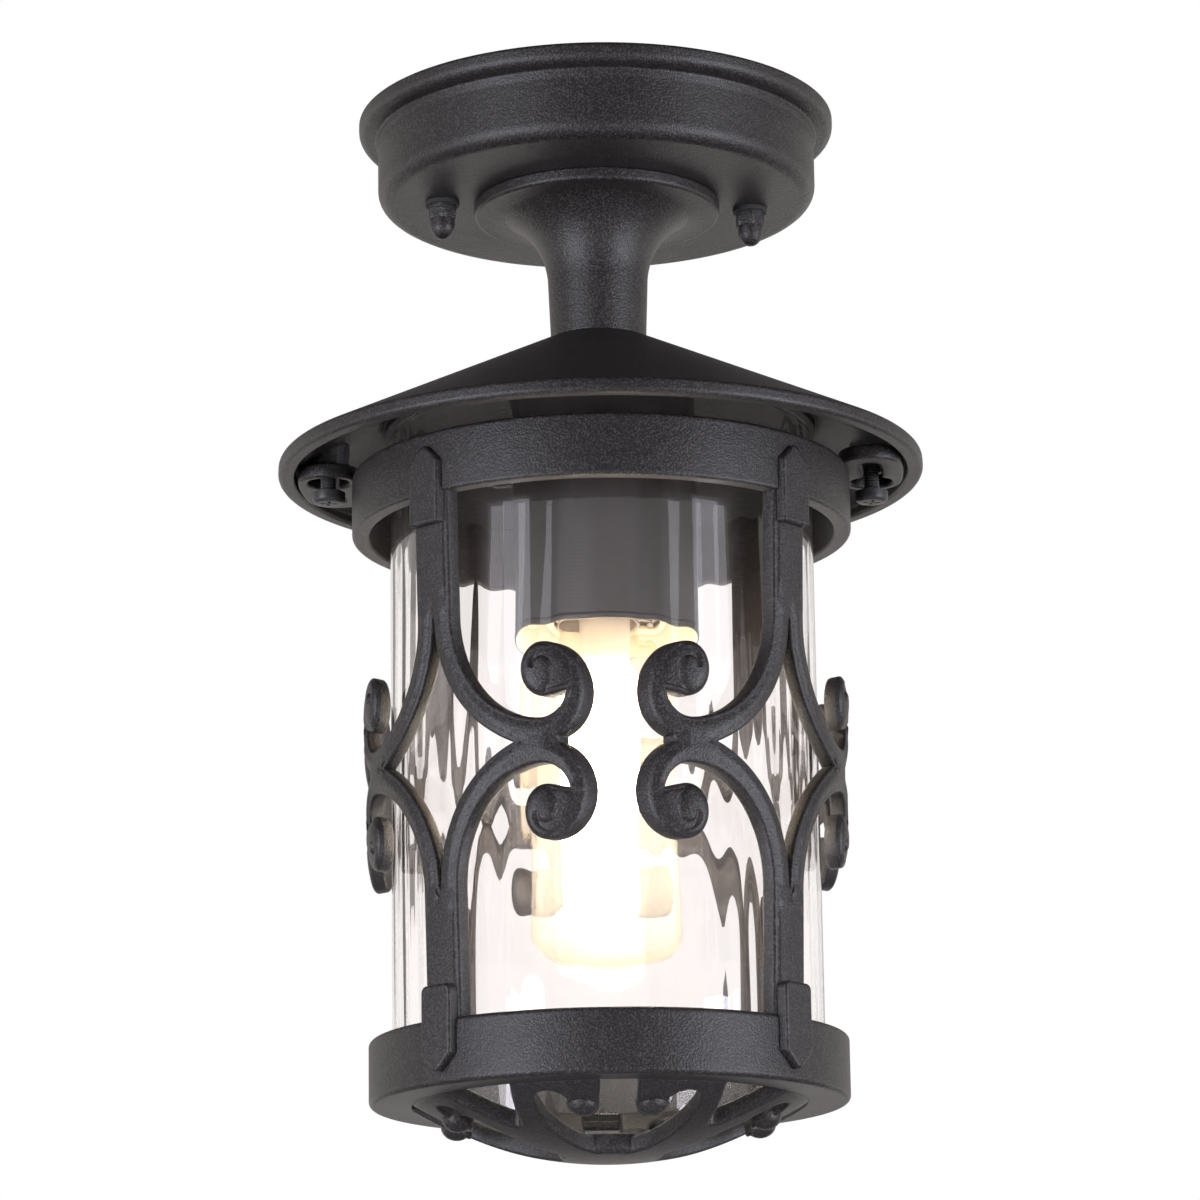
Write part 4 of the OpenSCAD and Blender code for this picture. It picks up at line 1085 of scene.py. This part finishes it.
def dome_relief(bm, centre, toward, mirror):
    """Raised end of a scroll: a short groove hooks in from the cusp round a low dome."""
    rings, around = 22, 72
    groove_turn, groove_w, groove_depth = 230, 0.17, 2.1
    size = KNOB_R - 0.25
    last = None
    for i in range(rings + 1):
        share = i / rings
        row = []
        for k in range(around):
            angle = 2 * math.pi * k / around
            turn = ((math.degrees(angle) - toward) * mirror) % 360
            height = -1.8 + 2.9 * math.sqrt(max(0.0, 1 - share**2.6))
            if turn < groove_turn:
                gap = (share - (1.0 - 0.80 * turn / groove_turn)) / groove_w
                fade = (1 - turn / groove_turn) ** 0.6
            else:
                gap = (share - 1.0) / groove_w
                fade = max(0.0, 1 - (360 - turn) / 40)
            height -= groove_depth * fade * math.exp(-gap * gap)
            spot = (
                centre.x + share * size * HEAD_SQUEEZE * math.cos(angle),
                centre.y + share * size * math.sin(angle),
            )
            row.append((*spot, max(height, -2.6)))
        if i == 0:
            row = [(centre.x, centre.y, sum(p[2] for p in row) / around)]
        row = [bm.verts.new(p) for p in row]
        if last is not None:
            for k in range(around):
                after = (k + 1) % around
                corners = [last[k % len(last)], row[k], row[after], last[after % len(last)]]
                bm.faces.new(list(dict.fromkeys(corners)))
        last = row


def bend_on_band(bm):
    """Wraps flat (along, up, out) onto the leaning band; walls stay square to the bar's middle."""
    for vert in bm.verts:
        along, up, out = vert.co
        radius = BAND_R + BAR_LEAN * up + out
        angle = math.asin(BAND_R * math.sin(along / BAND_R) / radius)
        vert.co = (radius * math.cos(angle), radius * math.sin(angle), MEET + up)


def tab_prism(bm, low, high, point_up, inner, face):
    """Pointed tab that stands on a ring, with soft edges."""
    half = TAB_W / 2
    shoulder = high - TAB_POINT if point_up else low + TAB_POINT
    if point_up:
        corners = [(-half, low, 0.8), (half, low, 0.8), (half, shoulder, 1.6)]
        corners += [(0, high, 2.2), (-half, shoulder, 1.6)]
    else:
        corners = [(0, low, 1.6), (half, shoulder, 1.6), (half, high, 2.0)]
        corners += [(-half, high, 2.0), (-half, shoulder, 1.6)]
    before = len(bm.verts)
    plate(bm, [softened(corners, 5)], face - inner, 0.9)
    place = Matrix(((0, 0, 1, face), (1, 0, 0, 0), (0, 1, 0, 0), (0, 0, 0, 1)))
    shift_new(bm, before, place)


def scroll_bar_form():
    """One bar with its four scroll heads and two tabs, on the +X side."""
    bm = bmesh.new()
    plate(bm, scroll_bar_loops(), BAND_T, 1.1, crown=0.6)
    middle, cusp = from_bar([KNOB_C, CUSP])
    toward = angle_from(middle, cusp)
    for right in (1, -1):
        for up in (1, -1):
            direction = toward if right > 0 else 180 - toward
            direction = direction if up > 0 else -direction
            dome_relief(bm, point(right * middle.x, up * middle.y), direction, right * up)
    slice_across(bm, (1, 0, 0), [2.4 * k for k in range(-20, 21)])
    bend_on_band(bm)
    tab_prism(bm, *TOP_TAB, True, BAND_R - 1, TOP_TAB_FACE)
    tab_prism(bm, *LOW_TAB, False, BAND_R - 6, LOW_TAB_FACE)
    return bm


def make_scroll_bars():
    form = scroll_bar_form()
    turns = {"front_right": -45, "back_right": 45, "back_left": 135, "front_left": -135}
    for corner, turn in turns.items():
        name = "scroll_bar_" + corner
        place = {"Count": 1, "First Turn": math.radians(turn)}
        bm = run_tree(form.copy(), copies_tree, powder_coat, place)
        finish_casting(name + "_casting", bm, "cage", [name], limit=44.0)
    form.free()


# ---------------------------------------------------------------------------
# Bottom grille
# ---------------------------------------------------------------------------


def smooth_through(points, steps):
    """Smooth curve through points, with steps between each pair."""
    made = []
    last = len(points) - 1
    for i in range(last):
        a, b = points[max(i - 1, 0)], points[i]
        c, d = points[i + 1], points[min(i + 2, last)]
        for k in range(steps):
            t = k / steps
            bend = 2 * b + (c - a) * t + (2 * a - 5 * b + 4 * c - d) * t**2
            made.append(0.5 * (bend + (3 * b - a - 3 * c + d) * t**3))
    return made + [points[last]]


def grille_outline():
    """Outline of the whole grille in plan: hearts open between their knobs, gaps between hearts."""
    w = HEART_HALF_W
    side = [
        (4.6, BOSS_R - 1.6), (w * 0.43, BOSS_R + 3.6), (w * 0.63, BOSS_R + 10.3),
        (w * 0.82, BOSS_R + 17.7), (w * 0.965, BOSS_R + 26), (w, BOSS_R + 30.4),
        (w * 0.96, BOSS_R + 33.2), (w * 0.87, BOSS_R + 34.8), (w * 0.76, BOSS_R + 35),
        (w * 0.65, BOSS_R + 33.6),
    ]
    half = [point(0, BOSS_R - 0.4), point(2.4, BOSS_R - 0.6)]
    half += smooth_through([point(*p) for p in side], 4)
    half += arc(GRILLE_KNOB, GRILLE_KNOB_R, 20, -180, 22)
    knob_in = GRILLE_KNOB[0] - GRILLE_KNOB_R
    half.append(point(knob_in, math.sqrt(GRILLE_R**2 - knob_in**2)))
    wedge = [
        (0, WEDGE_TIP), (1.5, WEDGE_TIP + 0.9), (3.9, WEDGE_TIP + 4.6), (7.4, WEDGE_TIP + 10.2),
        (11.6, WEDGE_TIP + 16), (12.6, WEDGE_TIP + 17.4),
    ]
    gap = smooth_through([point(*p) for p in wedge], 4)
    gap_edge = point(12.9, math.sqrt(GRILLE_R**2 - 12.9**2))
    gap.append(gap_edge)
    start = math.degrees(math.atan2(half[-1].x, half[-1].y))
    end = 45 - math.degrees(math.atan2(gap_edge.x, gap_edge.y))
    rim = [at_angle(GRILLE_R, 90 - (start + (end - start) * k / 8)) for k in range(1, 8)]
    turned = Matrix.Rotation(math.radians(-45), 2)
    eighth = half + rim + [turned @ point(-p.x, p.y) for p in reversed(gap)]
    quarter = eighth[:-1] + [turned @ (turned @ point(-p.x, p.y)) for p in reversed(eighth)]
    quarter = quarter[:-1]
    outline = []
    for k in range(BAY_COUNT):
        round_again = Matrix.Rotation(math.radians(-90 * k), 2)
        outline += [round_again @ p for p in quarter]
    return list(reversed(outline))


def knob_pair(middle):
    """The two knobs of one heart, sunk in a bowl whose ball has its middle at that height."""
    bm = bmesh.new()
    for side in (-1, 1):
        spot = Vector((side * GRILLE_KNOB[0], GRILLE_KNOB[1], 0))
        before = len(bm.verts)
        turn_profile(bm, arc((0, 0), GRILLE_KNOB_R + 0.35, -90, 90, 16), 28, closed=False)
        spot.z = middle - math.sqrt(BOWL_R**2 - spot.length_squared) + GRILLE_T * 0.42
        shift_new(bm, before, Matrix.Translation(spot) @ Matrix.Diagonal((1, 1, 0.86, 1)))
    return bm


def make_grille():
    """Bowl of four hearts round a boss: a flat plate, bent on a ball, with round knobs."""
    bm = bmesh.new()
    least = BOSS_R - 0.7
    outline = [p if p.length > least else p.normalized() * least for p in grille_outline()]
    plate(bm, [outline], GRILLE_T, 1.0)
    spots = [3.6 * k for k in range(-16, 17)]
    slice_across(bm, (1, 0, 0), spots)
    slice_across(bm, (0, 1, 0), spots)
    middle = BOSS + math.sqrt(BOWL_R**2 - BOSS_R**2)
    for vert in bm.verts:
        x, y, out = vert.co
        radius = BOWL_R + out
        vert.co = (x, y, middle - math.sqrt(max(radius * radius - x * x - y * y, 0.0)))
    run_tree(knob_pair(middle), copies_tree, powder_coat, {"Count": BAY_COUNT}, into=bm)
    boss = [
        (0, BOSS + RECESS_DEPTH, 0),
        (RECESS_R, BOSS + RECESS_DEPTH, 0.4),
        (RECESS_R, BOSS, 0.6),
        (BOSS_R, BOSS, 1.8),
        (BOSS_R, BOSS + BOSS_T, 0.8),
        (0, BOSS + BOSS_T, 0),
    ]
    turn_profile(bm, softened(boss, 5), 72, closed=False)
    finish_casting("heart_grille_casting", bm, "cage", ["bottom_grille"])


# ---------------------------------------------------------------------------
# Glass, cup and lampholder
# ---------------------------------------------------------------------------


def ripple(angle, height):
    """Depth of the flutes inside the glass: they wander and swell along their length."""
    x, y = math.cos(angle), math.sin(angle)
    wander = noise.noise(Vector((x * 1.1, y * 1.1, height * 0.007)))
    swell = noise.noise(Vector((x * 2.6 + 7, y * 2.6, height * 0.016)))
    drift = noise.noise(Vector((x * 1.9, y * 1.9 + 3, height * 0.010)))
    wave = math.cos(FLUTES * angle + 0.9 * math.pi * wander)
    return 0.22 * (0.65 + 0.7 * swell) * wave + 0.16 * drift


def make_glass():
    inside = GLASS_R - GLASS_WALL

    def shape(radius, height, angle):
        if radius > inside + 0.6:
            return radius
        edge = min(height - GLASS_FOOT, GLASS_TOP - height) / 8.0
        fade = min(max(edge, 0.0), 1.0)
        return radius + 0.5 + fade * ripple(angle, height)

    rows = 52
    corners = [(GLASS_R, GLASS_FOOT, 0.9), (GLASS_R, GLASS_TOP, 0.9), (inside, GLASS_TOP, 0.4)]
    corners.append((inside, GLASS_FOOT, 0.4))
    profile = softened(corners, 4)
    spots = []
    for i, spot in enumerate(profile):
        spots.append(spot)
        after = profile[(i + 1) % len(profile)]
        if abs(after.y - spot.y) > 50:
            spots += [spot.lerp(after, k / rows) for k in range(1, rows)]
    bm = bmesh.new()
    turn_profile(bm, spots, 420, shape=shape)
    finishes = [clear_glass]
    finish_piece("fluted_glass", bm, "glass", finishes, ["glass_tube"], merge=False)


def make_cup():
    """Spun cup with a small bead at its mouth, painted outside and enamelled inside."""
    inside = CUP_R - CUP_WALL
    corners = [
        (TUBE_HOLE_R, CUP_TOP, 0.2),
        (CUP_R, CUP_TOP, 1.2),
        (CUP_R, CUP_MOUTH + 2.0, 0.5),
        (CUP_R + 0.35, CUP_MOUTH + 1.2, 0.4),
        (CUP_R + 0.2, CUP_MOUTH, 0.5),
        (inside, CUP_MOUTH, 0.3),
        (inside, CUP_TOP - 1.5, 1.0),
        (TUBE_HOLE_R, CUP_TOP - 1.5, 0.2),
    ]
    bm = bmesh.new()
    turn_profile(bm, softened(corners, 5))
    for face in bm.faces:
        spot = face.calc_center_median()
        radius = math.hypot(spot.x, spot.y)
        within = radius < inside + 0.25 and spot.z < CUP_TOP - 1.0
        face.material_index = 1 if within else 0
    finishes = [cup_outside, cup_inside]
    finish_piece("lampholder_cup", bm, "fixture", finishes, ["holder_cup"])


def make_holder():
    """Skirt of the lampholder, with grip ribs."""
    skirt = [
        (HOLDER_R, HOLDER_JOINT, 0.5),
        (HOLDER_R, HOLDER_FOOT, 1.2),
        (HOLDER_R - 4.4, HOLDER_FOOT, 0.6),
        (HOLDER_R - 4.4, HOLDER_FOOT + 1.5, 0.2),
        (HOLDER_R - 2.2, HOLDER_FOOT + 1.5, 0.2),
        (HOLDER_R - 2.2, HOLDER_JOINT, 0.4),
    ]
    profile = softened(skirt, 4)
    spots = []
    for i, spot in enumerate(profile):
        spots.append(spot)
        after = profile[(i + 1) % len(profile)]
        if spot.x > HOLDER_R - 0.1 and abs(after.y - spot.y) > 20:
            heights = (HOLDER_JOINT - 3.9, HOLDER_JOINT - 4.6, HOLDER_FOOT + 4.6, HOLDER_FOOT + 3.9)
            spots += [point(spot.x, h) for h in heights]
    bm = bmesh.new()
    turn_profile(bm, spots, 288)
    ribs = {"Count": 36, "Depth": 0.22, "Side": HOLDER_R}
    ribs |= {"Foot": HOLDER_FOOT + 4, "Top": HOLDER_JOINT - 4}
    bm = run_tree(bm, ribs_tree, cream, ribs)
    finish_piece("holder_skirt_moulding", bm, "fixture", [cream], ["holder_skirt"])


# ---------------------------------------------------------------------------
# Lamp
# ---------------------------------------------------------------------------


def make_lamp_cap():
    """Screw cap with its rolled thread, over a plain shoulder."""
    around, per_turn = 96, 14
    crest = LAMP_CAP_R - 0.05
    height = LAMP_THREAD - LAMP_CAP_FOOT
    rows = int(height / THREAD_PITCH * per_turn)
    bm = bmesh.new()
    heights = [LAMP_CAP_FOOT + height * i / rows for i in range(rows + 1)]
    join_rings(bm, [ring_at(bm, z, around, crest) for z in heights])
    rolled = {"Crest": crest, "Pitch": THREAD_PITCH, "Depth": 0.75, "Blunt": 0.8}
    rolled |= {"Foot": LAMP_CAP_FOOT, "Top": LAMP_THREAD, "Runout": 1.5}
    bm = run_tree(bm, thread_tree, nickel, rolled)
    shoulder = [
        (crest, LAMP_THREAD),
        (8.4, LAMP_SHOULDER - 2),
        (5.4, LAMP_SHOULDER),
        (0, LAMP_SHOULDER),
    ]
    turn_profile(bm, shoulder, around, closed=False)
    skirt = [
        (crest, LAMP_CAP_FOOT),
        (LAMP_CAP_R - 0.8, LAMP_CAP_FOOT),
        (LAMP_CAP_R - 0.8, LAMP_THREAD - 1),
        (0, LAMP_THREAD - 1),
    ]
    turn_profile(bm, skirt, around, closed=False)
    finish_piece("lamp_screw_cap", bm, "lamp", [nickel], ["lamp_cap"])


def make_envelope():
    """Tubular envelope with a drawn neck and a domed end, blown from one piece."""
    neck = LAMP_CAP_R - 0.9
    wide = LAMP_CAP_FOOT - 20
    dome = LAMP_TIP + 9

    def outline(wall):
        made = [point(neck - wall, LAMP_CAP_FOOT + 3), point(neck - wall, LAMP_CAP_FOOT - 2)]
        for i in range(1, 17):
            t = i / 16
            ease = t * t * (3 - 2 * t)
            radius = neck - wall + (LAMP_R - neck) * ease
            made.append(point(radius, LAMP_CAP_FOOT - 2 + (wide - LAMP_CAP_FOOT + 2) * t))
        made += [point(LAMP_R - wall, wide + (dome - wide) * k / 6) for k in range(1, 6)]
        return made + domed_end(LAMP_R - wall, dome, dome - LAMP_TIP - wall, 16, power=0.75)

    bm = bmesh.new()
    turn_profile(bm, outline(0) + list(reversed(outline(0.9))), 96)
    finish_piece("lamp_glass", bm, "lamp", [bulb_glass], ["lamp_envelope"])


def make_lit_tube():
    top = LAMP_CAP_FOOT - 14
    foot = LAMP_TIP + 12
    profile = [point(0, top)]
    profile += arc((LAMP_TUBE_R - 2.5, top - 2.5), 2.5, 90, 0, 6)
    profile += [point(LAMP_TUBE_R, top + (foot + 8 - top) * k / 8) for k in range(1, 8)]
    profile += domed_end(LAMP_TUBE_R, foot + 8, 8, 12)
    bm = bmesh.new()
    turn_profile(bm, profile, 72, closed=False)
    finish_piece("lamp_lit_tube", bm, "lamp", [lit_tube], ["lamp_tube"])


# ---------------------------------------------------------------------------
# Fasteners
# ---------------------------------------------------------------------------


def cross_outline(size, width):
    """Outline of a cross recess."""
    half, reach = width / 2, size / 2
    outline = []
    for turn in range(4):
        spin = Matrix.Rotation(math.radians(90 * turn), 2)
        for spot in ((half, half), (reach, half), (reach, -half)):
            outline.append(spin @ point(*spot))
    return outline


def head_with_cross(bm, radius, low, high, edge, size, width, depth):
    """Screw head seen from below: rounded edge, with a tapered cross recess in its face."""
    count = 48
    rim = arc((radius - edge, low + edge), edge, 0, -90, 4)
    rings = [ring_at(bm, z, count, r) for r, z in [(radius, high)] + rim]
    join_rings(bm, rings)
    top = bm.verts.new((0, 0, high))
    for k in range(count):
        bm.faces.new((top, rings[0][k], rings[0][(k + 1) % count]))
    outline = cross_outline(size, width)
    brim = [bm.verts.new((p.x, p.y, low)) for p in outline]
    floor = [bm.verts.new((p.x * 0.55, p.y * 0.55, low + depth)) for p in outline]
    edges = []
    for ring in (rings[-1], brim):
        for k in range(len(ring)):
            pair = (ring[k], ring[(k + 1) % len(ring)])
            edges.append(bm.edges.get(pair) or bm.edges.new(pair))
    bmesh.ops.triangle_fill(bm, edges=edges, use_beauty=True, normal=(0, 0, -1))
    join_rings(bm, [brim, floor])
    bm.faces.new(floor)


def make_keeper(side, name):
    """Retaining screw: pan head with a cross recess, and a threaded shank with a point."""
    low = KEEPER_WASHER - 0.3
    tip = KEEPER_WASHER + KEEPER_L
    rows = 80
    bm = bmesh.new()
    rings = []
    for i in range(rows + 1):
        z = low + (tip - low) * i / rows
        taper = min(1.0, 0.06 + 0.94 * (tip - z) / 1.6)
        rings.append(ring_at(bm, z, 32, KEEPER_R * taper))
    join_rings(bm, rings)
    bm.faces.new(rings[0])
    bm.faces.new(rings[-1])
    cut = {"Crest": KEEPER_R, "Pitch": KEEPER_PITCH, "Depth": 0.38, "Blunt": 1.0}
    cut |= {"Foot": low - 1.0, "Top": tip + 1.0, "Runout": 1.0}
    bm = run_tree(bm, thread_tree, blackened_steel, cut)
    head_foot = KEEPER_WASHER - KEEPER_HEAD_H
    head_with_cross(bm, KEEPER_HEAD_R, head_foot, KEEPER_WASHER, 1.3, 5.0, 1.1, 1.3)
    bmesh.ops.translate(bm, verts=bm.verts, vec=(side * KEEPER_AT, 0, 0))
    body, finishes = name.replace("keeper_", ""), [blackened_steel]
    finish_piece(name + "_finished", bm, body, finishes, [name], limit=32.0)


def make_dome_nuts():
    """Two cap nuts: chamfered hexagon under the washer, dome below it."""
    seat = -CANOPY_H - SEAL_WASHER_T
    hex_foot = seat - NUT_HEX_H
    dome_top = hex_foot - 1.8
    rows = [(seat, 0.93), (seat - 0.35, 1.02), (hex_foot + 0.55, 1.02), (hex_foot, 0.90)]

    def chamfered(share, angle):
        sector = (angle + math.pi / 6) % (math.pi / 3) - math.pi / 6
        return min(NUT_AF / 2 / math.cos(sector), NUT_AF / math.sqrt(3) * share)

    bm = bmesh.new()
    rings = [ring_at(bm, z, 72, partial(chamfered, share)) for z, share in rows]
    join_rings(bm, rings)
    bm.faces.new(rings[0])
    bm.faces.new(rings[-1])
    dome = [(0, hex_foot + 0.6), (NUT_DOME_R - 0.05, hex_foot + 0.6), (NUT_DOME_R, dome_top)]
    dome += domed_end(NUT_DOME_R, dome_top, 4.2, 10, skip=1)
    turn_profile(bm, dome, 48, closed=False)
    places = {"Count": 2, "Distance": STUD_AT, "First Turn": math.radians(STUD_TURN)}
    bm = run_tree(bm, copies_tree, powder_coat, places)
    slot, finishes = "dark_fasteners", [powder_coat]
    finish_piece("cap_nuts", bm, "fixture", finishes, ["dome_nuts"], limit=28.0, merge=False)


def make_boss_screw():
    """Screw with a cross recess, sunk in the recess of the grille's boss."""
    seat = BOSS + RECESS_DEPTH
    tip = BOSS + BOSS_T
    bm = bmesh.new()
    head_with_cross(bm, RECESS_R - 0.6, seat - 1.8, seat + 0.3, 0.9, 5.4, 1.2, 1.2)
    shank = [(0, seat), (2.95, seat), (2.95, tip - 0.4), (0, tip - 0.2)]
    turn_profile(bm, shank, 32, closed=False)
    slot, finishes = "brown_screw", [brown_oxide]
    finish_piece("boss_screw_finished", bm, "cage", finishes, ["boss_screw"], limit=32.0)


# ---------------------------------------------------------------------------
# CAD pieces that keep their shape
# ---------------------------------------------------------------------------

KEPT = {
    "ceiling_gasket": rubber,
    "mounting_bracket": zinc,
    "bracket_studs": zinc,
    "seal_washers": rubber,
    "terminal_block": ivory,
    "terminal_screws": brass,
    "earth_terminal": brass,
    "stem_gasket": rubber,
    "roof_gasket": rubber,
    "threaded_tube": zinc,
    "tube_washers": zinc,
    "tube_nuts": zinc,
    "glass_top_gasket": rubber,
    "holder_cap": cream,
    "holder_insert": ceramic,
    "holder_shell": nickel,
    "holder_contact": brass,
    "holder_terminals": brass,
    "live_wire": brown_sleeve,
    "neutral_wire": blue_sleeve,
    "earth_wire": earth_sleeve,
    "lamp_contact": nickel,
    "lamp_stem": ceramic,
    "glass_base_gasket": rubber,
    "keeper_washer_right": blackened_steel,
    "keeper_washer_left": blackened_steel,
}


def dress_kept_nodes():
    for name, finish in KEPT.items():
        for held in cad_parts[name].material_slots:
            held.material = finish


# ---------------------------------------------------------------------------
# Light, background and camera
# ---------------------------------------------------------------------------


def make_world():
    """White where the camera sees it; as light, strong behind, beside and below."""
    world = bpy.data.worlds.new("studio")
    bpy.context.scene.world = world
    world.use_nodes = True
    f = Finish(world.node_tree)
    toward = f.node("ShaderNodeTexCoord")["Generated"]
    parts = f.node("ShaderNodeSeparateXYZ", {"Vector": toward})
    back = parts["Y"].above(0.25, 0.55)
    beside = f.math("ABSOLUTE", parts["X"]).above(0.62, 0.34)
    below = (-1.0 * parts["Z"]).above(0.12, 0.22)
    overhead = parts["Z"].above(0.45, 0.3)
    level = 0.045 + 0.52 * back + 0.20 * beside + below * (0.34 + 0.60 * back)
    level = level * (1.0 - 0.82 * overhead)
    seen = f.seen_directly()
    glossy = f.node("ShaderNodeLightPath")["Is Glossy Ray"]
    strength = (level * (1.0 + 0.35 * glossy)) * (1.0 - seen) + seen
    tint = f.mix(seen, (1.0, 0.955, 0.915), (1.0, 1.0, 1.0))
    light = f.node("ShaderNodeBackground", {"Color": tint, "Strength": strength})
    f.node("ShaderNodeOutputWorld", {"Surface": light["Background"]})


def make_floor():
    """Pale floor far below; what sees it directly sees it as white as the background."""
    made, f = material("pale floor")
    cloud = f.speckle(300.0, 3.0)
    surface(
        f,
        Base_Color=f.mix(cloud, (0.80, 0.79, 0.78), (0.84, 0.83, 0.82)),
        Roughness=0.8,
        Emission_Color=f.mix(f.seen_directly(), (0.0, 0.0, 0.0), (0.87, 0.87, 0.87)),
        Emission_Strength=1.0,
    )
    bm = bmesh.new()
    bmesh.ops.create_grid(bm, x_segments=4, y_segments=4, size=4.0)
    mesh = bpy.data.meshes.new("floor")
    bm.to_mesh(mesh)
    bm.free()
    mesh.materials.append(made)
    floor = bpy.data.objects.new("floor", mesh)
    floor.location = (0, 0, -1.6)
    bpy.context.scene.collection.objects.link(floor)


def area_light(name, spot, size, power, colour, aim=(0, 0, -0.17)):
    data = bpy.data.lights.new(name, "AREA")
    data.shape = "RECTANGLE"
    data.size = size[0]
    data.size_y = size[1]
    data.energy = power
    data.color = colour
    lamp = bpy.data.objects.new(name, data)
    lamp.location = spot
    lamp.rotation_euler = (Vector(aim) - Vector(spot)).to_track_quat("-Z", "Y").to_euler()
    lamp.visible_camera = False
    bpy.context.scene.collection.objects.link(lamp)


def make_lights():
    cool = (0.88, 0.89, 1.0)
    area_light("left softbox", (-1.08, -0.92, -0.45), (0.40, 0.8), 19.5, cool)
    area_light("right softbox", (1.17, -0.82, -0.45), (0.40, 0.8), 19.5, cool)
    area_light("left upper softbox", (-1.06, -0.94, 0.42), (0.40, 0.7), 2.6, cool)
    area_light("right upper softbox", (1.15, -0.84, 0.42), (0.40, 0.7), 2.6, cool)


def make_camera():
    """The photograph's camera: below and in front, turned up to the lantern."""
    distance, height = 1.379, -0.48323
    side, pitch, roll = math.radians(2.8), math.radians(13.52), math.radians(-0.85)
    data = bpy.data.cameras.new("photograph")
    data.sensor_width = 36
    data.lens = 141.39
    data.shift_x = -2.5 / 1200
    camera = bpy.data.objects.new("photograph", data)
    turn = Matrix.Rotation(-side, 4, "Z")
    tip = Matrix.Rotation(math.pi / 2 + pitch, 4, "X")
    camera.matrix_world = (
        turn @ Matrix.Translation((0, -distance, height)) @ tip @ Matrix.Rotation(roll, 4, "Z")
    )
    bpy.context.scene.collection.objects.link(camera)
    bpy.context.scene.camera = camera


# ---------------------------------------------------------------------------
# Everything together
# ---------------------------------------------------------------------------

make_camera()
make_world()
make_floor()
make_lights()
bpy.context.scene.view_settings.view_transform = "Standard"

dress_kept_nodes()
make_canopy()
make_stem()
make_roof()
make_top_ring()
make_low_ring()
make_scroll_bars()
make_grille()
make_glass()
make_cup()
make_holder()
make_lamp_cap()
make_envelope()
make_lit_tube()
make_keeper(1, "keeper_screw_right")
make_keeper(-1, "keeper_screw_left")
make_dome_nuts()
make_boss_screw()
